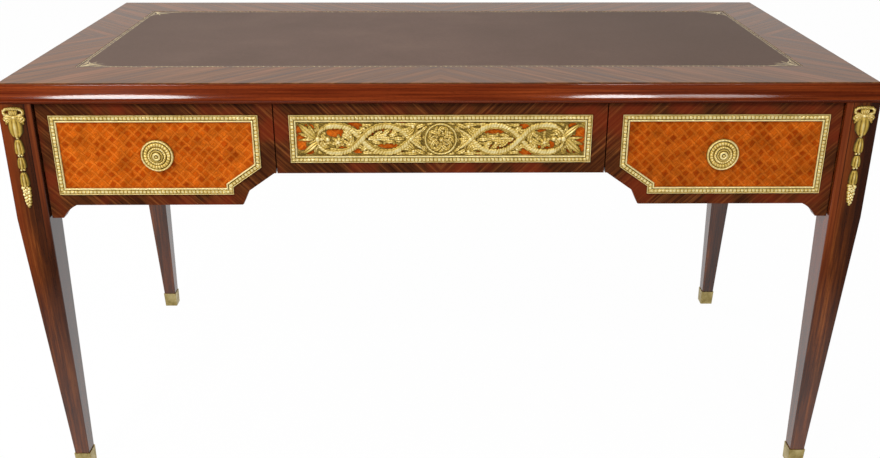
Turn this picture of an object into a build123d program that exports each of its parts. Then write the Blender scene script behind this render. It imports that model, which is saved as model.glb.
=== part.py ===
from build123d import *
import math
import os

# A flat-topped writing desk on four tapered legs, with three drawers in its frieze.
# Millimetres. The origin is on the floor under the middle of the desk. X runs along the desk,
# Y from its front to its back, and Z upwards.

# Overall size
overall_width = 1500.0         # over the noses of the edge moulding
overall_depth = 790.0
overall_height = 780.0         # floor to the top of the bandings

# Top
edge_height = 34.0             # underside of the edge moulding to the top surface
nose_projection = 12.0         # how far the moulding swells past the arris of the top
cove_projection = 8.0          # foot of the cove past the arris
cove_foot_height = 19.0        # height of the cove's foot above the underside
cove_middle_out = 0.25         # middle of the cove's arc, as parts of its projection and its rise
cove_middle_up = 0.32
nose_step_height = 1.5         # flat between cove and nose
nose_foot_height = 4.0         # height of the nose's lower end above the underside
underside_projection = 5.5     # flat underside past the arris
arris_flat_height = 1.5        # upright flat under the banding
moulding_grip_width = 18.0     # moulding strip behind the arris
banding_thickness = 2.0
banding_end_width = 92.0       # arris to leather at the two ends
banding_side_width = 114.0     # arris to leather along front and back
leather_thickness = 1.5

# Legs
leg_setback = 7.0              # outer leg faces behind the moulding's nose
leg_size = 57.0                # square of the upper part
leg_bevel_width = 1.0          # small bevel on each long edge
outer_end_taper = 24.0         # taper of each face, from the knee to the floor
inner_end_taper = 7.0
outer_side_taper = 18.5
inner_side_taper = 11.5
sabot_height = 35.0
sabot_wall = 1.6
sabot_sole = 3.0

# Frieze: aprons and drawer fronts
frieze_setback = 7.0           # frieze behind the outer leg faces
apron_thickness = 20.0
front_thickness = 20.0
frieze_height = 184.0          # underside of the top to the lower edge of the side drawers
centre_frieze_height = 126.0   # the same at the centre drawer
centre_front_width = 566.0
seam_width = 2.0               # between neighbouring drawer fronts
seam_depth = 1.5               # scored seams of the dummy fronts at the back
leg_gap = 2.5                  # between a drawer front and its leg
top_gap = 2.5                  # above the drawer fronts
cant_start_width = 3.5         # canted corner of the kneehole: flat beside the seam
cant_run = 45.5
cant_drop = 32.0
toe_run = 12.0                 # steep foot below the cant
toe_radius = 4.0
bracket_height = 24.0          # from the side drawers down to the knees of the legs
bracket_flat_width = 20.0      # foot of the bracket beside each leg
bracket_run = 26.0
bracket_bulge = 0.58           # 0.5 is a straight bracket, more is rounder
tenon_length = 25.0
tenon_thickness = 10.0
tenon_shoulder_height = 16.0   # from the apron's top and bottom edges to the tenon

# Inner carcase
rail_width = 60.0
rail_thickness = 20.0
cheek_thickness = 16.0         # upright boards beside the kneehole
cheek_inset = 4.0              # cheeks behind the outline of the drawer fronts
divider_thickness = 18.0
divider_inset = 2.0            # dividers above the lower edge of the centre drawer
stop_gap = 0.3                 # a shut drawer front and the carcase edge it closes on
runner_thickness = 12.0
runner_ledge_width = 20.0      # width of the ledge under a drawer side
runner_overrun_length = 20.0   # runner past the back of the shut drawer
guide_height = 22.0
block_size = 30.0              # corner blocks
screw_radius = 2.0
screw_head_radius = 4.0
screw_head_height = 3.0
screw_length = 38.0
screw_clearance = 0.1
screw_spacing = 450.0          # along the front rail

# Drawer boxes
drawer_depth = 480.0           # back of the drawer front to the outside of the back
lining_thickness = 12.0
bottom_thickness = 6.0
bottom_rise_height = 8.0       # bottom panel above the lower edge of the sides
groove_depth = 5.0
box_clearance = 1.5            # beside a drawer box
running_gap = 0.3              # between a drawer side and its runner
box_headroom_height = 8.0      # below the top rail
back_drop_height = 6.0         # drawer back below the drawer sides
lap_depth = 12.0               # dovetails into the back of the front
tail_pitch = 34.0
tail_width = 22.0
tail_neck_width = 16.0

# Parquetry panels and ormolu mounts
frame_margin_seam = 25.0       # frame to the drawer end at the seam
frame_margin_leg = 20.5
frame_margin_top = 19.5
frame_margin_bottom = 20.0
frame_margin_cant = 21.5
frame_margin_side = 25.0       # on the side aprons
frame_width = 13.5
frame_base_thickness = 2.8
outer_lip_width = 3.0
outer_lip_height = 4.0
inner_lip_width = 2.5
inner_lip_height = 3.6
panel_thickness = 2.0
panel_lap_width = 6.0          # panel under the frame's inner part
rosette_radius = 28.0
rosette_height = 13.5
rosette_profile = [            # from rim to middle, as parts of the radius and the height
    (1.0, 0.0), (1.0, 0.2), (0.96, 0.34), (0.89, 0.34), (0.86, 0.22), (0.82, 0.36), (0.75, 0.36),
    (0.71, 0.24), (0.42, 0.5), (0.36, 0.74), (0.26, 0.8), (0.18, 0.66), (0.11, 0.74),
    (0.09, 0.95), (0.0, 1.0),
]
stem_radius = 3.0
stem_length = 15.0
stem_clearance = 0.1

# Pierced plaque
plaque_thickness = 3.6
plaque_clearance = 0.3         # to the frame round it
strap_width = 5.5              # width of the interlaced straps
medallion_radius = 28.0
medallion_boss_radius = 15.0
oval_distance = 91.0
oval_half_length = 44.0
roundel_distance = 180.0
oval_boss_half_length = 22.0
oval_boss_half_height = 7.0
roundel_radius = 27.0
flower_radius = 9.5
knot_distance = 208.0          # knot from which the end leaves spring
leaf_half_width = 7.0
leaf_widest = 0.4              # where a leaf is widest, as a part of its length

# Chutes on the legs
chute_top_gap = 5.0            # below the top
chute_spine_width = 6.0
chute_base_thickness = 1.6
loop_thickness = 3.2
chute_relief_height = 6.0
bow_loop_width = 9.0
bow_loop_height = 7.5
bow_strap_width = 3.5
scroll_radius = 5.0
relief_slope = 25.0            # degrees that the sides of the relief lean in
knot_slope = 15.0
chute_drops = [                # top below the chute's top, length, width, and where it is widest
    (26.0, 28.0, 25.0, 0.22), (59.0, 28.0, 18.0, 0.6), (92.0, 22.0, 17.0, 0.6),
    (118.0, 22.0, 16.5, 0.6), (144.0, 37.0, 13.0, 0.3),
]
drop_neck = 0.35               # width of a drop's neck and hem as parts of its width
drop_hem = 0.8
drop_point = 0.08              # point below the hem, as a part of its length

# Places that follow from the sizes
half_width = overall_width / 2
half_depth = overall_depth / 2
arris_x = half_width - nose_projection
arris_y = half_depth - nose_projection
top_underside = overall_height - edge_height
frieze_bottom = top_underside - frieze_height
kneehole_height = top_underside - centre_frieze_height
knee_height = frieze_bottom - bracket_height
core_top = overall_height - banding_thickness
core_x = arris_x - moulding_grip_width
core_y = arris_y - moulding_grip_width
leather_x = arris_x - banding_end_width
leather_y = arris_y - banding_side_width
leg_x = half_width - leg_setback
leg_y = half_depth - leg_setback
leg_inner_x = leg_x - leg_size
leg_inner_y = leg_y - leg_size
frieze_x = leg_x - frieze_setback
frieze_y = leg_y - frieze_setback
apron_inner_x = frieze_x - apron_thickness
apron_inner_y = frieze_y - apron_thickness
front_top = top_underside - top_gap
front_back_y = -(frieze_y - front_thickness)
carcase_front_y = front_back_y + stop_gap
seam_x = centre_front_width / 2
side_front_in = seam_x + seam_width
side_front_out = leg_inner_x - leg_gap
cant_top_x = side_front_in + cant_start_width
cant_end_x = cant_top_x + cant_run
cant_end_z = kneehole_height - cant_drop
toe_x = cant_end_x + toe_run
rail_bottom = top_underside - rail_thickness
rail_back_y = carcase_front_y + rail_width
cheek_x = toe_x + cheek_inset
cheek_outer_x = cheek_x + cheek_thickness
divider_x = seam_x - divider_thickness / 2 + seam_width / 2
divider_outer_x = divider_x + divider_thickness
cheek_bottom = frieze_bottom + cheek_inset
divider_bottom = kneehole_height + divider_inset
side_box_in = cheek_outer_x + box_clearance
side_box_out = leg_inner_x - box_clearance
centre_box_x = divider_x - box_clearance
side_box_bottom = cheek_bottom + runner_thickness + running_gap
centre_box_bottom = divider_bottom + runner_thickness + running_gap
box_top = rail_bottom - box_headroom_height
drawer_back_y = front_back_y + drawer_depth
runner_back_y = drawer_back_y + runner_overrun_length

# Each face of the desk as a plane, with local X to the viewer's right, local Y up and Z outwards
front_face = Plane(origin=(0, -frieze_y, 0), x_dir=(1, 0, 0), z_dir=(0, -1, 0))
back_face = Plane(origin=(0, frieze_y, 0), x_dir=(-1, 0, 0), z_dir=(0, 1, 0))
right_face = Plane(origin=(frieze_x, 0, 0), x_dir=(0, 1, 0), z_dir=(1, 0, 0))
left_face = Plane(origin=(-frieze_x, 0, 0), x_dir=(0, -1, 0), z_dir=(-1, 0, 0))

parts = {}


def block(x0, x1, y0, y1, z0, z1):
    """A rectangular piece between two corners."""
    centre = Pos((x0 + x1) / 2, (y0 + y1) / 2, (z0 + z1) / 2)
    return centre * Box(abs(x1 - x0), abs(y1 - y0), abs(z1 - z0))


def polygon(points):
    """A flat face through the points, in the local XY plane."""
    return make_face(Polyline(*points, points[0]))


def rectangle(x0, x1, y0, y1):
    return polygon([(x0, y0), (x1, y0), (x1, y1), (x0, y1)])


def flipped(shape):
    """The piece for the left half of the desk, from the one for the right half."""
    return mirror(shape, about=Plane.YZ)


def at_back(shape):
    """The piece for the back of the desk, from the one for the front."""
    return mirror(shape, about=Plane.XZ)


# Top -----------------------------------------------------------------------------------------


def moulding_profile():
    """Cove over a rounded nose. Local X is outwards from the arris, local Y up from the underside."""
    top = edge_height - banding_thickness
    cove_start = (0, top - arris_flat_height)
    cove_end = (cove_projection, cove_foot_height)
    cove_rise = cove_start[1] - cove_foot_height
    cove_middle = (cove_projection * cove_middle_out, cove_foot_height + cove_rise * cove_middle_up)
    nose_start = (cove_projection, cove_foot_height - nose_step_height)
    nose_end = (cove_projection, nose_foot_height)
    nose_middle = (nose_projection, (nose_start[1] + nose_end[1]) / 2)
    outline = Polyline((-moulding_grip_width, top), (0, top), cove_start)
    outline += ThreePointArc(cove_start, cove_middle, cove_end)
    outline += Line(cove_end, nose_start)
    outline += ThreePointArc(nose_start, nose_middle, nose_end)
    outline += Polyline(
        nose_end, (underside_projection, nose_foot_height), (underside_projection, 0),
        (-moulding_grip_width, 0), (-moulding_grip_width, top),
    )
    return make_face(outline)


def moulding(length_half, across_half):
    """One mitred length for the side that faces local -Y, between two corners of the top."""
    section = Plane(origin=(-length_half, -across_half + nose_projection, top_underside),
                    x_dir=(0, -1, 0), z_dir=(-1, 0, 0)) * moulding_profile()
    strip = extrude(section, 2 * length_half, dir=(1, 0, 0))
    depth = moulding_grip_width + nose_projection
    mitre = polygon([
        (-length_half, -across_half), (length_half, -across_half),
        (length_half - depth, -across_half + depth), (-length_half + depth, -across_half + depth),
    ])
    return strip & extrude(Pos(0, 0, top_underside) * mitre, edge_height)


def banding(corners):
    """A mitred piece of banding, lying on the core and the moulding."""
    return extrude(Pos(0, 0, core_top) * polygon(corners), banding_thickness)


def screw(x, y, head_z, clearance=0.0):
    """Countersunk screw driven upwards, or with a clearance the hole for it."""
    shank = Pos(x, y, head_z + screw_length / 2) * Cylinder(screw_radius + clearance, screw_length)
    head = Pos(x, y, head_z + screw_head_height / 2) * Cone(
        screw_head_radius + clearance, screw_radius + clearance, screw_head_height)
    return shank + head


block_centre = block_size / 3
screw_places = [(x, carcase_front_y + rail_width / 2) for x in (-screw_spacing, 0, screw_spacing)]
screw_places += [
    (sx * (apron_inner_x - block_centre), sy * (leg_inner_y - block_centre))
    for sx in (-1, 1) for sy in (-1, 1)
]
screw_holes = [screw(x, y, rail_bottom, screw_clearance) for x, y in screw_places]


def make_top():
    core = block(-core_x, core_x, -core_y, core_y, top_underside, core_top)
    parts["top_core"] = core - screw_holes
    parts["writing_leather"] = block(
        -leather_x, leather_x, -leather_y, leather_y, core_top, core_top + leather_thickness)
    front = banding([(-arris_x, -arris_y), (arris_x, -arris_y),
                     (leather_x, -leather_y), (-leather_x, -leather_y)])
    right = banding([(arris_x, -arris_y), (arris_x, arris_y),
                     (leather_x, leather_y), (leather_x, -leather_y)])
    parts["top_banding_front"] = front
    parts["top_banding_back"] = at_back(front)
    parts["top_banding_right"] = right
    parts["top_banding_left"] = flipped(right)
    long_strip = moulding(half_width, half_depth)
    short_strip = Rot(0, 0, 90) * moulding(half_depth, half_width)
    parts["edge_moulding_front"] = long_strip
    parts["edge_moulding_back"] = at_back(long_strip)
    parts["edge_moulding_right"] = short_strip
    parts["edge_moulding_left"] = flipped(short_strip)


# Carcase -------------------------------------------------------------------------------------


def bevelled_square(x0, x1, y0, y1, z):
    """Section of a leg at height z, with its four corners bevelled."""
    b = leg_bevel_width
    outline = polygon([(x0 + b, y0), (x1 - b, y0), (x1, y0 + b), (x1, y1 - b),
                       (x1 - b, y1), (x0 + b, y1), (x0, y1 - b), (x0, y0 + b)])
    return Pos(0, 0, z) * outline


def leg_section(z, grow=0.0):
    """Section of the right front leg at a height, grown by a wall for the sabot."""
    t = max(0.0, (knee_height - z) / knee_height)
    return bevelled_square(
        leg_inner_x + inner_end_taper * t - grow, leg_x - outer_end_taper * t + grow,
        -leg_y + outer_side_taper * t - grow, -leg_inner_y - inner_side_taper * t + grow, z)


tenon_y = (apron_inner_x + frieze_x) / 2     # middle of the side aprons' thickness
tenon_x = (apron_inner_y + frieze_y) / 2     # middle of the back apron's thickness
tenon_bottom = frieze_bottom + tenon_shoulder_height
tenon_top = top_underside - tenon_shoulder_height
half_tenon = tenon_thickness / 2


def side_outline(inner, outer, top):
    """Outline of the frieze from the seam to a leg, with canted kneehole corner and bracket."""
    bracket_foot = (outer - bracket_flat_width, knee_height)
    bracket_top = (outer - bracket_flat_width - bracket_run, frieze_bottom)
    bracket_middle = (bracket_top[0] + bracket_run * bracket_bulge,
                      frieze_bottom - bracket_height * (1 - bracket_bulge))
    outline = Polyline((inner, top), (outer, top), (outer, knee_height), bracket_foot)
    outline += ThreePointArc(bracket_foot, bracket_middle, bracket_top)
    outline += Polyline(
        bracket_top, (toe_x, frieze_bottom), (cant_end_x, cant_end_z),
        (cant_top_x, kneehole_height), (inner, kneehole_height), (inner, top),
    )
    face = make_face(outline)
    toe = face.vertices().sort_by_distance((toe_x, frieze_bottom))[0]
    return fillet(toe, toe_radius)


def make_legs():
    shaft = loft([leg_section(sabot_sole), leg_section(knee_height)])
    shaft += extrude(leg_section(knee_height), top_underside - knee_height)
    side_mortise = block(tenon_y - half_tenon, tenon_y + half_tenon,
                         -leg_inner_y - tenon_length, -leg_inner_y, tenon_bottom, tenon_top)
    rail_mortise = block(leg_inner_x, leg_inner_x + tenon_length,
                         carcase_front_y + half_tenon, -leg_inner_y - half_tenon,
                         rail_bottom + half_tenon, top_underside)
    back_mortise = block(leg_inner_x, leg_inner_x + tenon_length,
                         -tenon_x - half_tenon, -tenon_x + half_tenon, tenon_bottom, tenon_top)
    front_leg = shaft - side_mortise - rail_mortise
    back_leg = at_back(shaft - side_mortise - back_mortise)
    sabot = loft([leg_section(0, sabot_wall), leg_section(sabot_height, sabot_wall)]) - shaft
    for end, leg, shoe in (("front", front_leg, sabot), ("back", back_leg, at_back(sabot))):
        parts[f"leg_{end}_right"] = leg
        parts[f"leg_{end}_left"] = flipped(leg)
        parts[f"sabot_{end}_right"] = shoe
        parts[f"sabot_{end}_left"] = flipped(shoe)


def side_apron():
    """Right side apron, with a bracket at each leg and a tenon into each."""
    end = leg_inner_y
    top, foot = top_underside, knee_height
    flat_end = end - bracket_flat_width
    rise_end = flat_end - bracket_run
    middle = rise_end + bracket_run * bracket_bulge
    middle_z = frieze_bottom - bracket_height * (1 - bracket_bulge)
    outline = Polyline((-flat_end, foot), (-end, foot), (-end, top), (end, top), (end, foot),
                       (flat_end, foot))
    outline += ThreePointArc((flat_end, foot), (middle, middle_z), (rise_end, frieze_bottom))
    outline += Line((rise_end, frieze_bottom), (-rise_end, frieze_bottom))
    outline += ThreePointArc((-rise_end, frieze_bottom), (-middle, middle_z), (-flat_end, foot))
    board = extrude(right_face * make_face(outline), -apron_thickness)
    tenons = block(tenon_y - half_tenon, tenon_y + half_tenon,
                   -end - tenon_length, end + tenon_length, tenon_bottom, tenon_top)
    return board + tenons - right_face * panel(side_apron_outline)


def back_apron():
    """Back apron in one board, scored with the seams of three dummy drawers."""
    half = side_outline(0, leg_inner_x, top_underside)
    right_half = extrude(back_face * half, -apron_thickness)
    board = right_half + flipped(right_half)
    tenon = block(leg_inner_x, leg_inner_x + tenon_length,
                  tenon_x - half_tenon, tenon_x + half_tenon, tenon_bottom, tenon_top)
    board += [tenon, flipped(tenon)]
    for side in (-1, 1):
        line = rectangle(side * seam_x, side * side_front_in, kneehole_height, top_underside)
        board -= extrude(back_face * line, -seam_depth)
    let_in = [panel(canted_outline), flipped(panel(canted_outline)), panel(centre_outline),
              stem_hole(), flipped(stem_hole())]
    return board - [back_face * piece for piece in let_in]


def make_carcase():
    rail = block(-leg_inner_x, leg_inner_x, carcase_front_y, rail_back_y,
                 rail_bottom, top_underside)
    rail += block(-leg_inner_x - tenon_length, leg_inner_x + tenon_length,
                  carcase_front_y + half_tenon, -leg_inner_y - half_tenon,
                  rail_bottom + half_tenon, top_underside)
    notch = block(-leg_inner_x, leg_inner_x, carcase_front_y, rail_back_y,
                  rail_bottom, top_underside)
    parts["front_rail"] = rail - screw_holes
    apron = side_apron()
    parts["side_apron_right"] = apron
    parts["side_apron_left"] = flipped(apron)
    parts["back_apron"] = back_apron()
    cheek = block(cheek_x, cheek_outer_x, carcase_front_y, apron_inner_y,
                  cheek_bottom, top_underside) - notch
    divider = block(divider_x, divider_outer_x, carcase_front_y, apron_inner_y,
                    divider_bottom, top_underside) - notch
    parts["kneehole_cheek_right"] = cheek
    parts["kneehole_cheek_left"] = flipped(cheek)
    parts["drawer_divider_right"] = divider
    parts["drawer_divider_left"] = flipped(divider)


def make_runners():
    """Ledges that the drawer sides ride on. The outer ones are rebated to guide the drawer too."""
    ledge_top = cheek_bottom + runner_thickness
    inner = block(cheek_outer_x, cheek_outer_x + runner_ledge_width, carcase_front_y, runner_back_y,
                  cheek_bottom, ledge_top)
    guide_x = side_box_out + box_clearance
    outer = block(side_box_out - runner_ledge_width, apron_inner_x, -leg_inner_y, runner_back_y,
                  cheek_bottom, ledge_top)
    outer += block(guide_x, apron_inner_x, -leg_inner_y, runner_back_y,
                   ledge_top, ledge_top + guide_height)
    centre = block(divider_x - runner_ledge_width, divider_x, carcase_front_y, runner_back_y,
                   divider_bottom, divider_bottom + runner_thickness)
    right = [inner, outer, centre]
    parts["drawer_runners"] = Compound(children=right + [flipped(runner) for runner in right])


def make_fixings():
    corner = polygon([
        (apron_inner_x, -leg_inner_y), (apron_inner_x - block_size, -leg_inner_y),
        (apron_inner_x, -leg_inner_y + block_size),
    ])
    front_block = extrude(Pos(0, 0, rail_bottom) * corner, rail_thickness) - screw_holes
    right = [front_block, at_back(front_block)]
    parts["corner_blocks"] = Compound(children=right + [flipped(piece) for piece in right])
    parts["top_screws"] = Compound(children=[screw(x, y, rail_bottom) for x, y in screw_places])


# Mounts --------------------------------------------------------------------------------------


def canted_frame_outline():
    """Outer outline of a side drawer's frame, parallel to the kneehole's canted corner."""
    inner = side_front_in + frame_margin_seam
    outer = side_front_out - frame_margin_leg
    top = front_top - frame_margin_top
    bottom = frieze_bottom + frame_margin_bottom
    slope = cant_drop / cant_run
    lift = frame_margin_cant * math.hypot(1, slope)     # upward shift for that distance
    step = bottom + frame_width
    cant_z = kneehole_height + lift - slope * (inner - cant_top_x)
    cant_x = cant_top_x + (kneehole_height + lift - step) / slope
    return polygon([(inner, top), (outer, top), (outer, bottom), (cant_x, bottom),
                    (cant_x, step), (inner, cant_z)])


frame_top = front_top - frame_margin_top
centre_frame_x = seam_x - frame_margin_seam
centre_frame_bottom = kneehole_height + frame_margin_bottom
side_frame_y = leg_inner_y - frame_margin_side
side_frame_bottom = frieze_bottom + frame_margin_bottom
centre_outline = rectangle(-centre_frame_x, centre_frame_x, centre_frame_bottom, frame_top)
side_apron_outline = rectangle(-side_frame_y, side_frame_y, side_frame_bottom, frame_top)
canted_outline = canted_frame_outline()
rosette_x = (side_front_in + frame_margin_seam + side_front_out - frame_margin_leg) / 2
rosette_z = (frieze_bottom + frame_margin_bottom + frame_top) / 2


def inset(outline, amount):
    return offset(outline, -amount, kind=Kind.INTERSECTION)


def ormolu_frame(outline):
    """Flat band with a raised lip along each edge, its back on the local XY plane."""
    opening = inset(outline, frame_width)
    band = extrude(outline - opening, frame_base_thickness)
    outer_lip = extrude(outline - inset(outline, outer_lip_width), outer_lip_height)
    inner_lip = extrude(inset(outline, frame_width - inner_lip_width) - opening, inner_lip_height)
    return band + outer_lip + inner_lip


def panel(outline):
    """Parquetry panel let in flush, its edges under the frame."""
    return extrude(inset(outline, frame_width - panel_lap_width), -panel_thickness)


def rosette():
    """Round pull: rim, bead ring, dished petals and a raised boss, with a stem into the wood."""
    turned = [(out * rosette_radius, up * rosette_height) for out, up in rosette_profile]
    outline = Polyline((stem_radius, 0), *turned, (0, -stem_length), (stem_radius, -stem_length),
                       (stem_radius, 0))
    upright = make_face(Plane.XZ * outline)
    return Pos(rosette_x, rosette_z, 0) * revolve(upright, Axis.Z)


def stem_hole():
    depth = stem_length + stem_clearance
    return Pos(rosette_x, rosette_z, -depth / 2) * Cylinder(stem_radius + stem_clearance, depth)


def ring(x, reach, rise, width):
    """Flat oval strap round a centre on the plaque's axis."""
    return Pos(x, 0, 0) * (Ellipse(reach, rise) - Ellipse(reach - width, rise - width))


def leaf(base, tip, spread):
    """Pointed leaf from base to tip."""
    (x0, y0), (x1, y1) = base, tip
    length = math.hypot(x1 - x0, y1 - y0)
    along = ((x1 - x0) / length, (y1 - y0) / length)
    wide = (x0 + (x1 - x0) * leaf_widest, y0 + (y1 - y0) * leaf_widest)
    left = (wide[0] - along[1] * spread, wide[1] + along[0] * spread)
    right = (wide[0] + along[1] * spread, wide[1] - along[0] * spread)
    return polygon([base, right, tip, left])


def pierced_plaque():
    """Interlaced straps: a medallion, two ovals, two roundels with flowers and leaves at the ends."""
    reach = centre_frame_x - frame_width - plaque_clearance
    rise = (frame_top - centre_frame_bottom) / 2 - frame_width - plaque_clearance
    tall = min(medallion_radius, rise)
    outline = ring(0, tall, tall, strap_width) + Circle(medallion_boss_radius)
    for turn in (0, 45, 90, 135):
        outline += Rot(0, 0, turn) * Rectangle(2 * tall - strap_width, strap_width)
    for side in (-1, 1):
        outline += ring(side * oval_distance, oval_half_length, rise, strap_width)
        outline += ring(side * roundel_distance, roundel_radius, rise, strap_width)
        outline += Pos(side * roundel_distance, 0) * Circle(flower_radius)
        outline += Pos(side * roundel_distance, 0) * Rectangle(strap_width, 2 * rise - strap_width)
        outline += Pos(side * oval_distance, 0) * Ellipse(oval_boss_half_length, oval_boss_half_height)
        outline += Pos(side * oval_distance, 0) * Rectangle(strap_width, 2 * rise - strap_width)
        inner_link = (side * (oval_distance - oval_half_length + strap_width / 2), 0)
        outline += leaf((side * (tall - strap_width), 0), inner_link, leaf_half_width)
        link_start = side * (oval_distance + oval_half_length - strap_width)
        link_end = side * (roundel_distance - roundel_radius + strap_width)
        for up in (-1, 1):
            outline += leaf((link_start, -up * strap_width), (link_end, up * rise / 2), strap_width)
            end_tip = (side * reach, up * (rise - strap_width))
            outline += leaf((side * knot_distance, 0), end_tip, leaf_half_width)
        outline += leaf((side * (knot_distance - strap_width), 0), (side * reach, 0), strap_width)
    middle = (frame_top + centre_frame_bottom) / 2
    return extrude(Pos(0, middle, 0) * outline, plaque_thickness)


def drop(top, length, width, shoulder):
    """Husk, bell or pendant in relief, hanging from its top and widest at its shoulder."""
    half = width / 2
    neck = half * drop_neck
    hem = half * drop_hem
    low = top - length
    widest = top - length * shoulder
    hem_y = low + length * drop_point
    outline = polygon([(neck, top), (-neck, top), (-half, widest), (-hem, hem_y),
                       (0, low), (hem, hem_y), (half, widest)])
    return extrude(outline, chute_relief_height, taper=relief_slope)


def chute():
    """Hanging mount of a leg: ribbon bow, scrolls, bell leaf, three husks and a pendant."""
    top = top_underside - chute_top_gap
    lowest = chute_drops[-1][0] + chute_drops[-1][1]
    half_spine = chute_spine_width / 2
    spine = rectangle(-half_spine, half_spine, top - lowest + chute_spine_width, top - bow_strap_width)
    body = extrude(spine, chute_base_thickness)
    for below, length, width, shoulder in chute_drops:
        body += drop(top - below, length, width, shoulder)
    scroll_x = 2 * bow_loop_width - scroll_radius
    scroll_y = top - 2 * bow_loop_height - scroll_radius
    for side in (-1, 1):
        loop = Ellipse(bow_loop_width, bow_loop_height) - Ellipse(
            bow_loop_width - bow_strap_width, bow_loop_height - bow_strap_width)
        body += extrude(Pos(side * bow_loop_width, top - bow_loop_height) * loop, loop_thickness)
        scroll = Pos(side * scroll_x, scroll_y) * Circle(scroll_radius)
        body += extrude(scroll, chute_relief_height, taper=relief_slope)
    crossbar = rectangle(-scroll_x, scroll_x, scroll_y - bow_strap_width, scroll_y + bow_strap_width)
    knot = rectangle(-bow_loop_width / 2, bow_loop_width / 2, scroll_y, top)
    body += extrude(crossbar, loop_thickness)
    return body + extrude(knot, chute_relief_height, taper=knot_slope)


def leg_face(x, front):
    """Plane on a leg's front or back face, centred across the leg."""
    y = -leg_y if front else leg_y
    facing = -1 if front else 1
    return Plane(origin=(x, y, 0), x_dir=(-facing, 0, 0), z_dir=(0, facing, 0))


def make_mounts():
    """Mounts of the fixed carcase. Those of the drawers are made with the drawers."""
    leg_middle = leg_x - leg_size / 2
    for end in ("front", "back"):
        for name, x in (("left", -leg_middle), ("right", leg_middle)):
            parts[f"chute_{end}_{name}"] = leg_face(x, end == "front") * chute()
    side_panel = panel(side_apron_outline)
    side_frame = ormolu_frame(side_apron_outline)
    parts["side_parquetry"] = Compound(children=[left_face * side_panel, right_face * side_panel])
    parts["side_frames"] = Compound(children=[left_face * side_frame, right_face * side_frame])
    knob = rosette()
    right_hole = stem_hole()
    canted_panel = panel(canted_outline) - right_hole
    canted_frame = ormolu_frame(canted_outline)
    back_panels = [canted_panel, flipped(canted_panel), panel(centre_outline)]
    back_frames = [canted_frame, flipped(canted_frame), ormolu_frame(centre_outline)]
    parts["back_parquetry"] = Compound(children=[back_face * piece for piece in back_panels])
    parts["back_frames"] = Compound(children=[back_face * piece for piece in back_frames])
    parts["back_rosettes"] = Compound(children=[back_face * knob, back_face * flipped(knob)])
    parts["back_plaque"] = back_face * pierced_plaque()


# Drawers -------------------------------------------------------------------------------------


def tails(y_root, y_tip, z0, z1, x0, x1):
    """Row of dovetails on the end of a drawer side."""
    count = max(1, int((z1 - z0) // tail_pitch))
    pitch = (z1 - z0) / count
    row = []
    for i in range(count):
        middle = z0 + pitch * (i + 0.5)
        outline = polygon([(y_root, middle - tail_neck_width / 2), (y_tip, middle - tail_width / 2),
                           (y_tip, middle + tail_width / 2), (y_root, middle + tail_neck_width / 2)])
        upright = Plane(origin=(x0, 0, 0), x_dir=(0, 1, 0), z_dir=(1, 0, 0)) * outline
        row.append(extrude(upright, x1 - x0, dir=(1, 0, 0)))
    return row


def make_drawer(name, front, x0, x1, z0):
    """Dovetailed box behind a drawer front. The bottom slides in grooves, under the back."""
    z1 = box_top
    back_y = drawer_back_y - lining_thickness
    panel_z = z0 + bottom_rise_height
    panel_top = panel_z + bottom_thickness
    bottom = block(x0 + lining_thickness - groove_depth, x1 - lining_thickness + groove_depth,
                   front_back_y - groove_depth, drawer_back_y, panel_z, panel_top)
    sides = []
    for left, right in ((x0, x0 + lining_thickness), (x1 - lining_thickness, x1)):
        side = block(left, right, front_back_y, back_y, z0, z1)
        side += block(left, right, back_y, drawer_back_y, z0, panel_top)
        side += tails(front_back_y, front_back_y - lap_depth, z0, z1, left, right)
        side += tails(back_y, drawer_back_y, panel_top, z1 - back_drop_height, left, right)
        sides.append(side - bottom)
    back = block(x0, x1, back_y, drawer_back_y, panel_top, z1 - back_drop_height) - sides
    parts[f"drawer_{name}_front"] = front - sides - bottom
    parts[f"drawer_{name}_sides"] = Compound(children=sides)
    parts[f"drawer_{name}_back"] = back
    parts[f"drawer_{name}_bottom"] = bottom


def make_side_drawer(name, place):
    """A side drawer, made for the right and flipped for the left."""
    outline = side_outline(side_front_in, side_front_out, front_top)
    front = front_face * (extrude(outline, -front_thickness) - panel(canted_outline) - stem_hole())
    x0, x1 = (side_box_in, side_box_out) if place > 0 else (-side_box_out, -side_box_in)
    turned = (lambda shape: shape) if place > 0 else flipped
    make_drawer(name, turned(front), x0, x1, side_box_bottom)
    parts[f"drawer_{name}_parquetry"] = turned(front_face * (panel(canted_outline) - stem_hole()))
    parts[f"drawer_{name}_frame"] = turned(front_face * ormolu_frame(canted_outline))
    parts[f"drawer_{name}_rosette"] = turned(front_face * rosette())


def make_centre_drawer():
    outline = rectangle(-seam_x, seam_x, kneehole_height, front_top)
    front = front_face * (extrude(outline, -front_thickness) - panel(centre_outline))
    make_drawer("centre", front, -centre_box_x, centre_box_x, centre_box_bottom)
    parts["drawer_centre_parquetry"] = front_face * panel(centre_outline)
    parts["drawer_centre_frame"] = front_face * ormolu_frame(centre_outline)
    parts["drawer_centre_plaque"] = front_face * pierced_plaque()


make_top()
make_legs()
make_carcase()
make_runners()
make_fixings()
make_mounts()
make_side_drawer("left", -1)
make_centre_drawer()
make_side_drawer("right", 1)

os.makedirs("parts", exist_ok=True)
for node, shape in parts.items():
    export_step(shape, f"parts/{node}.step")
print(len(parts), "nodes written")
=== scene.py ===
import bpy
import numpy as np
from fnmatch import fnmatch
from functools import partial
from mathutils import Matrix


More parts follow.
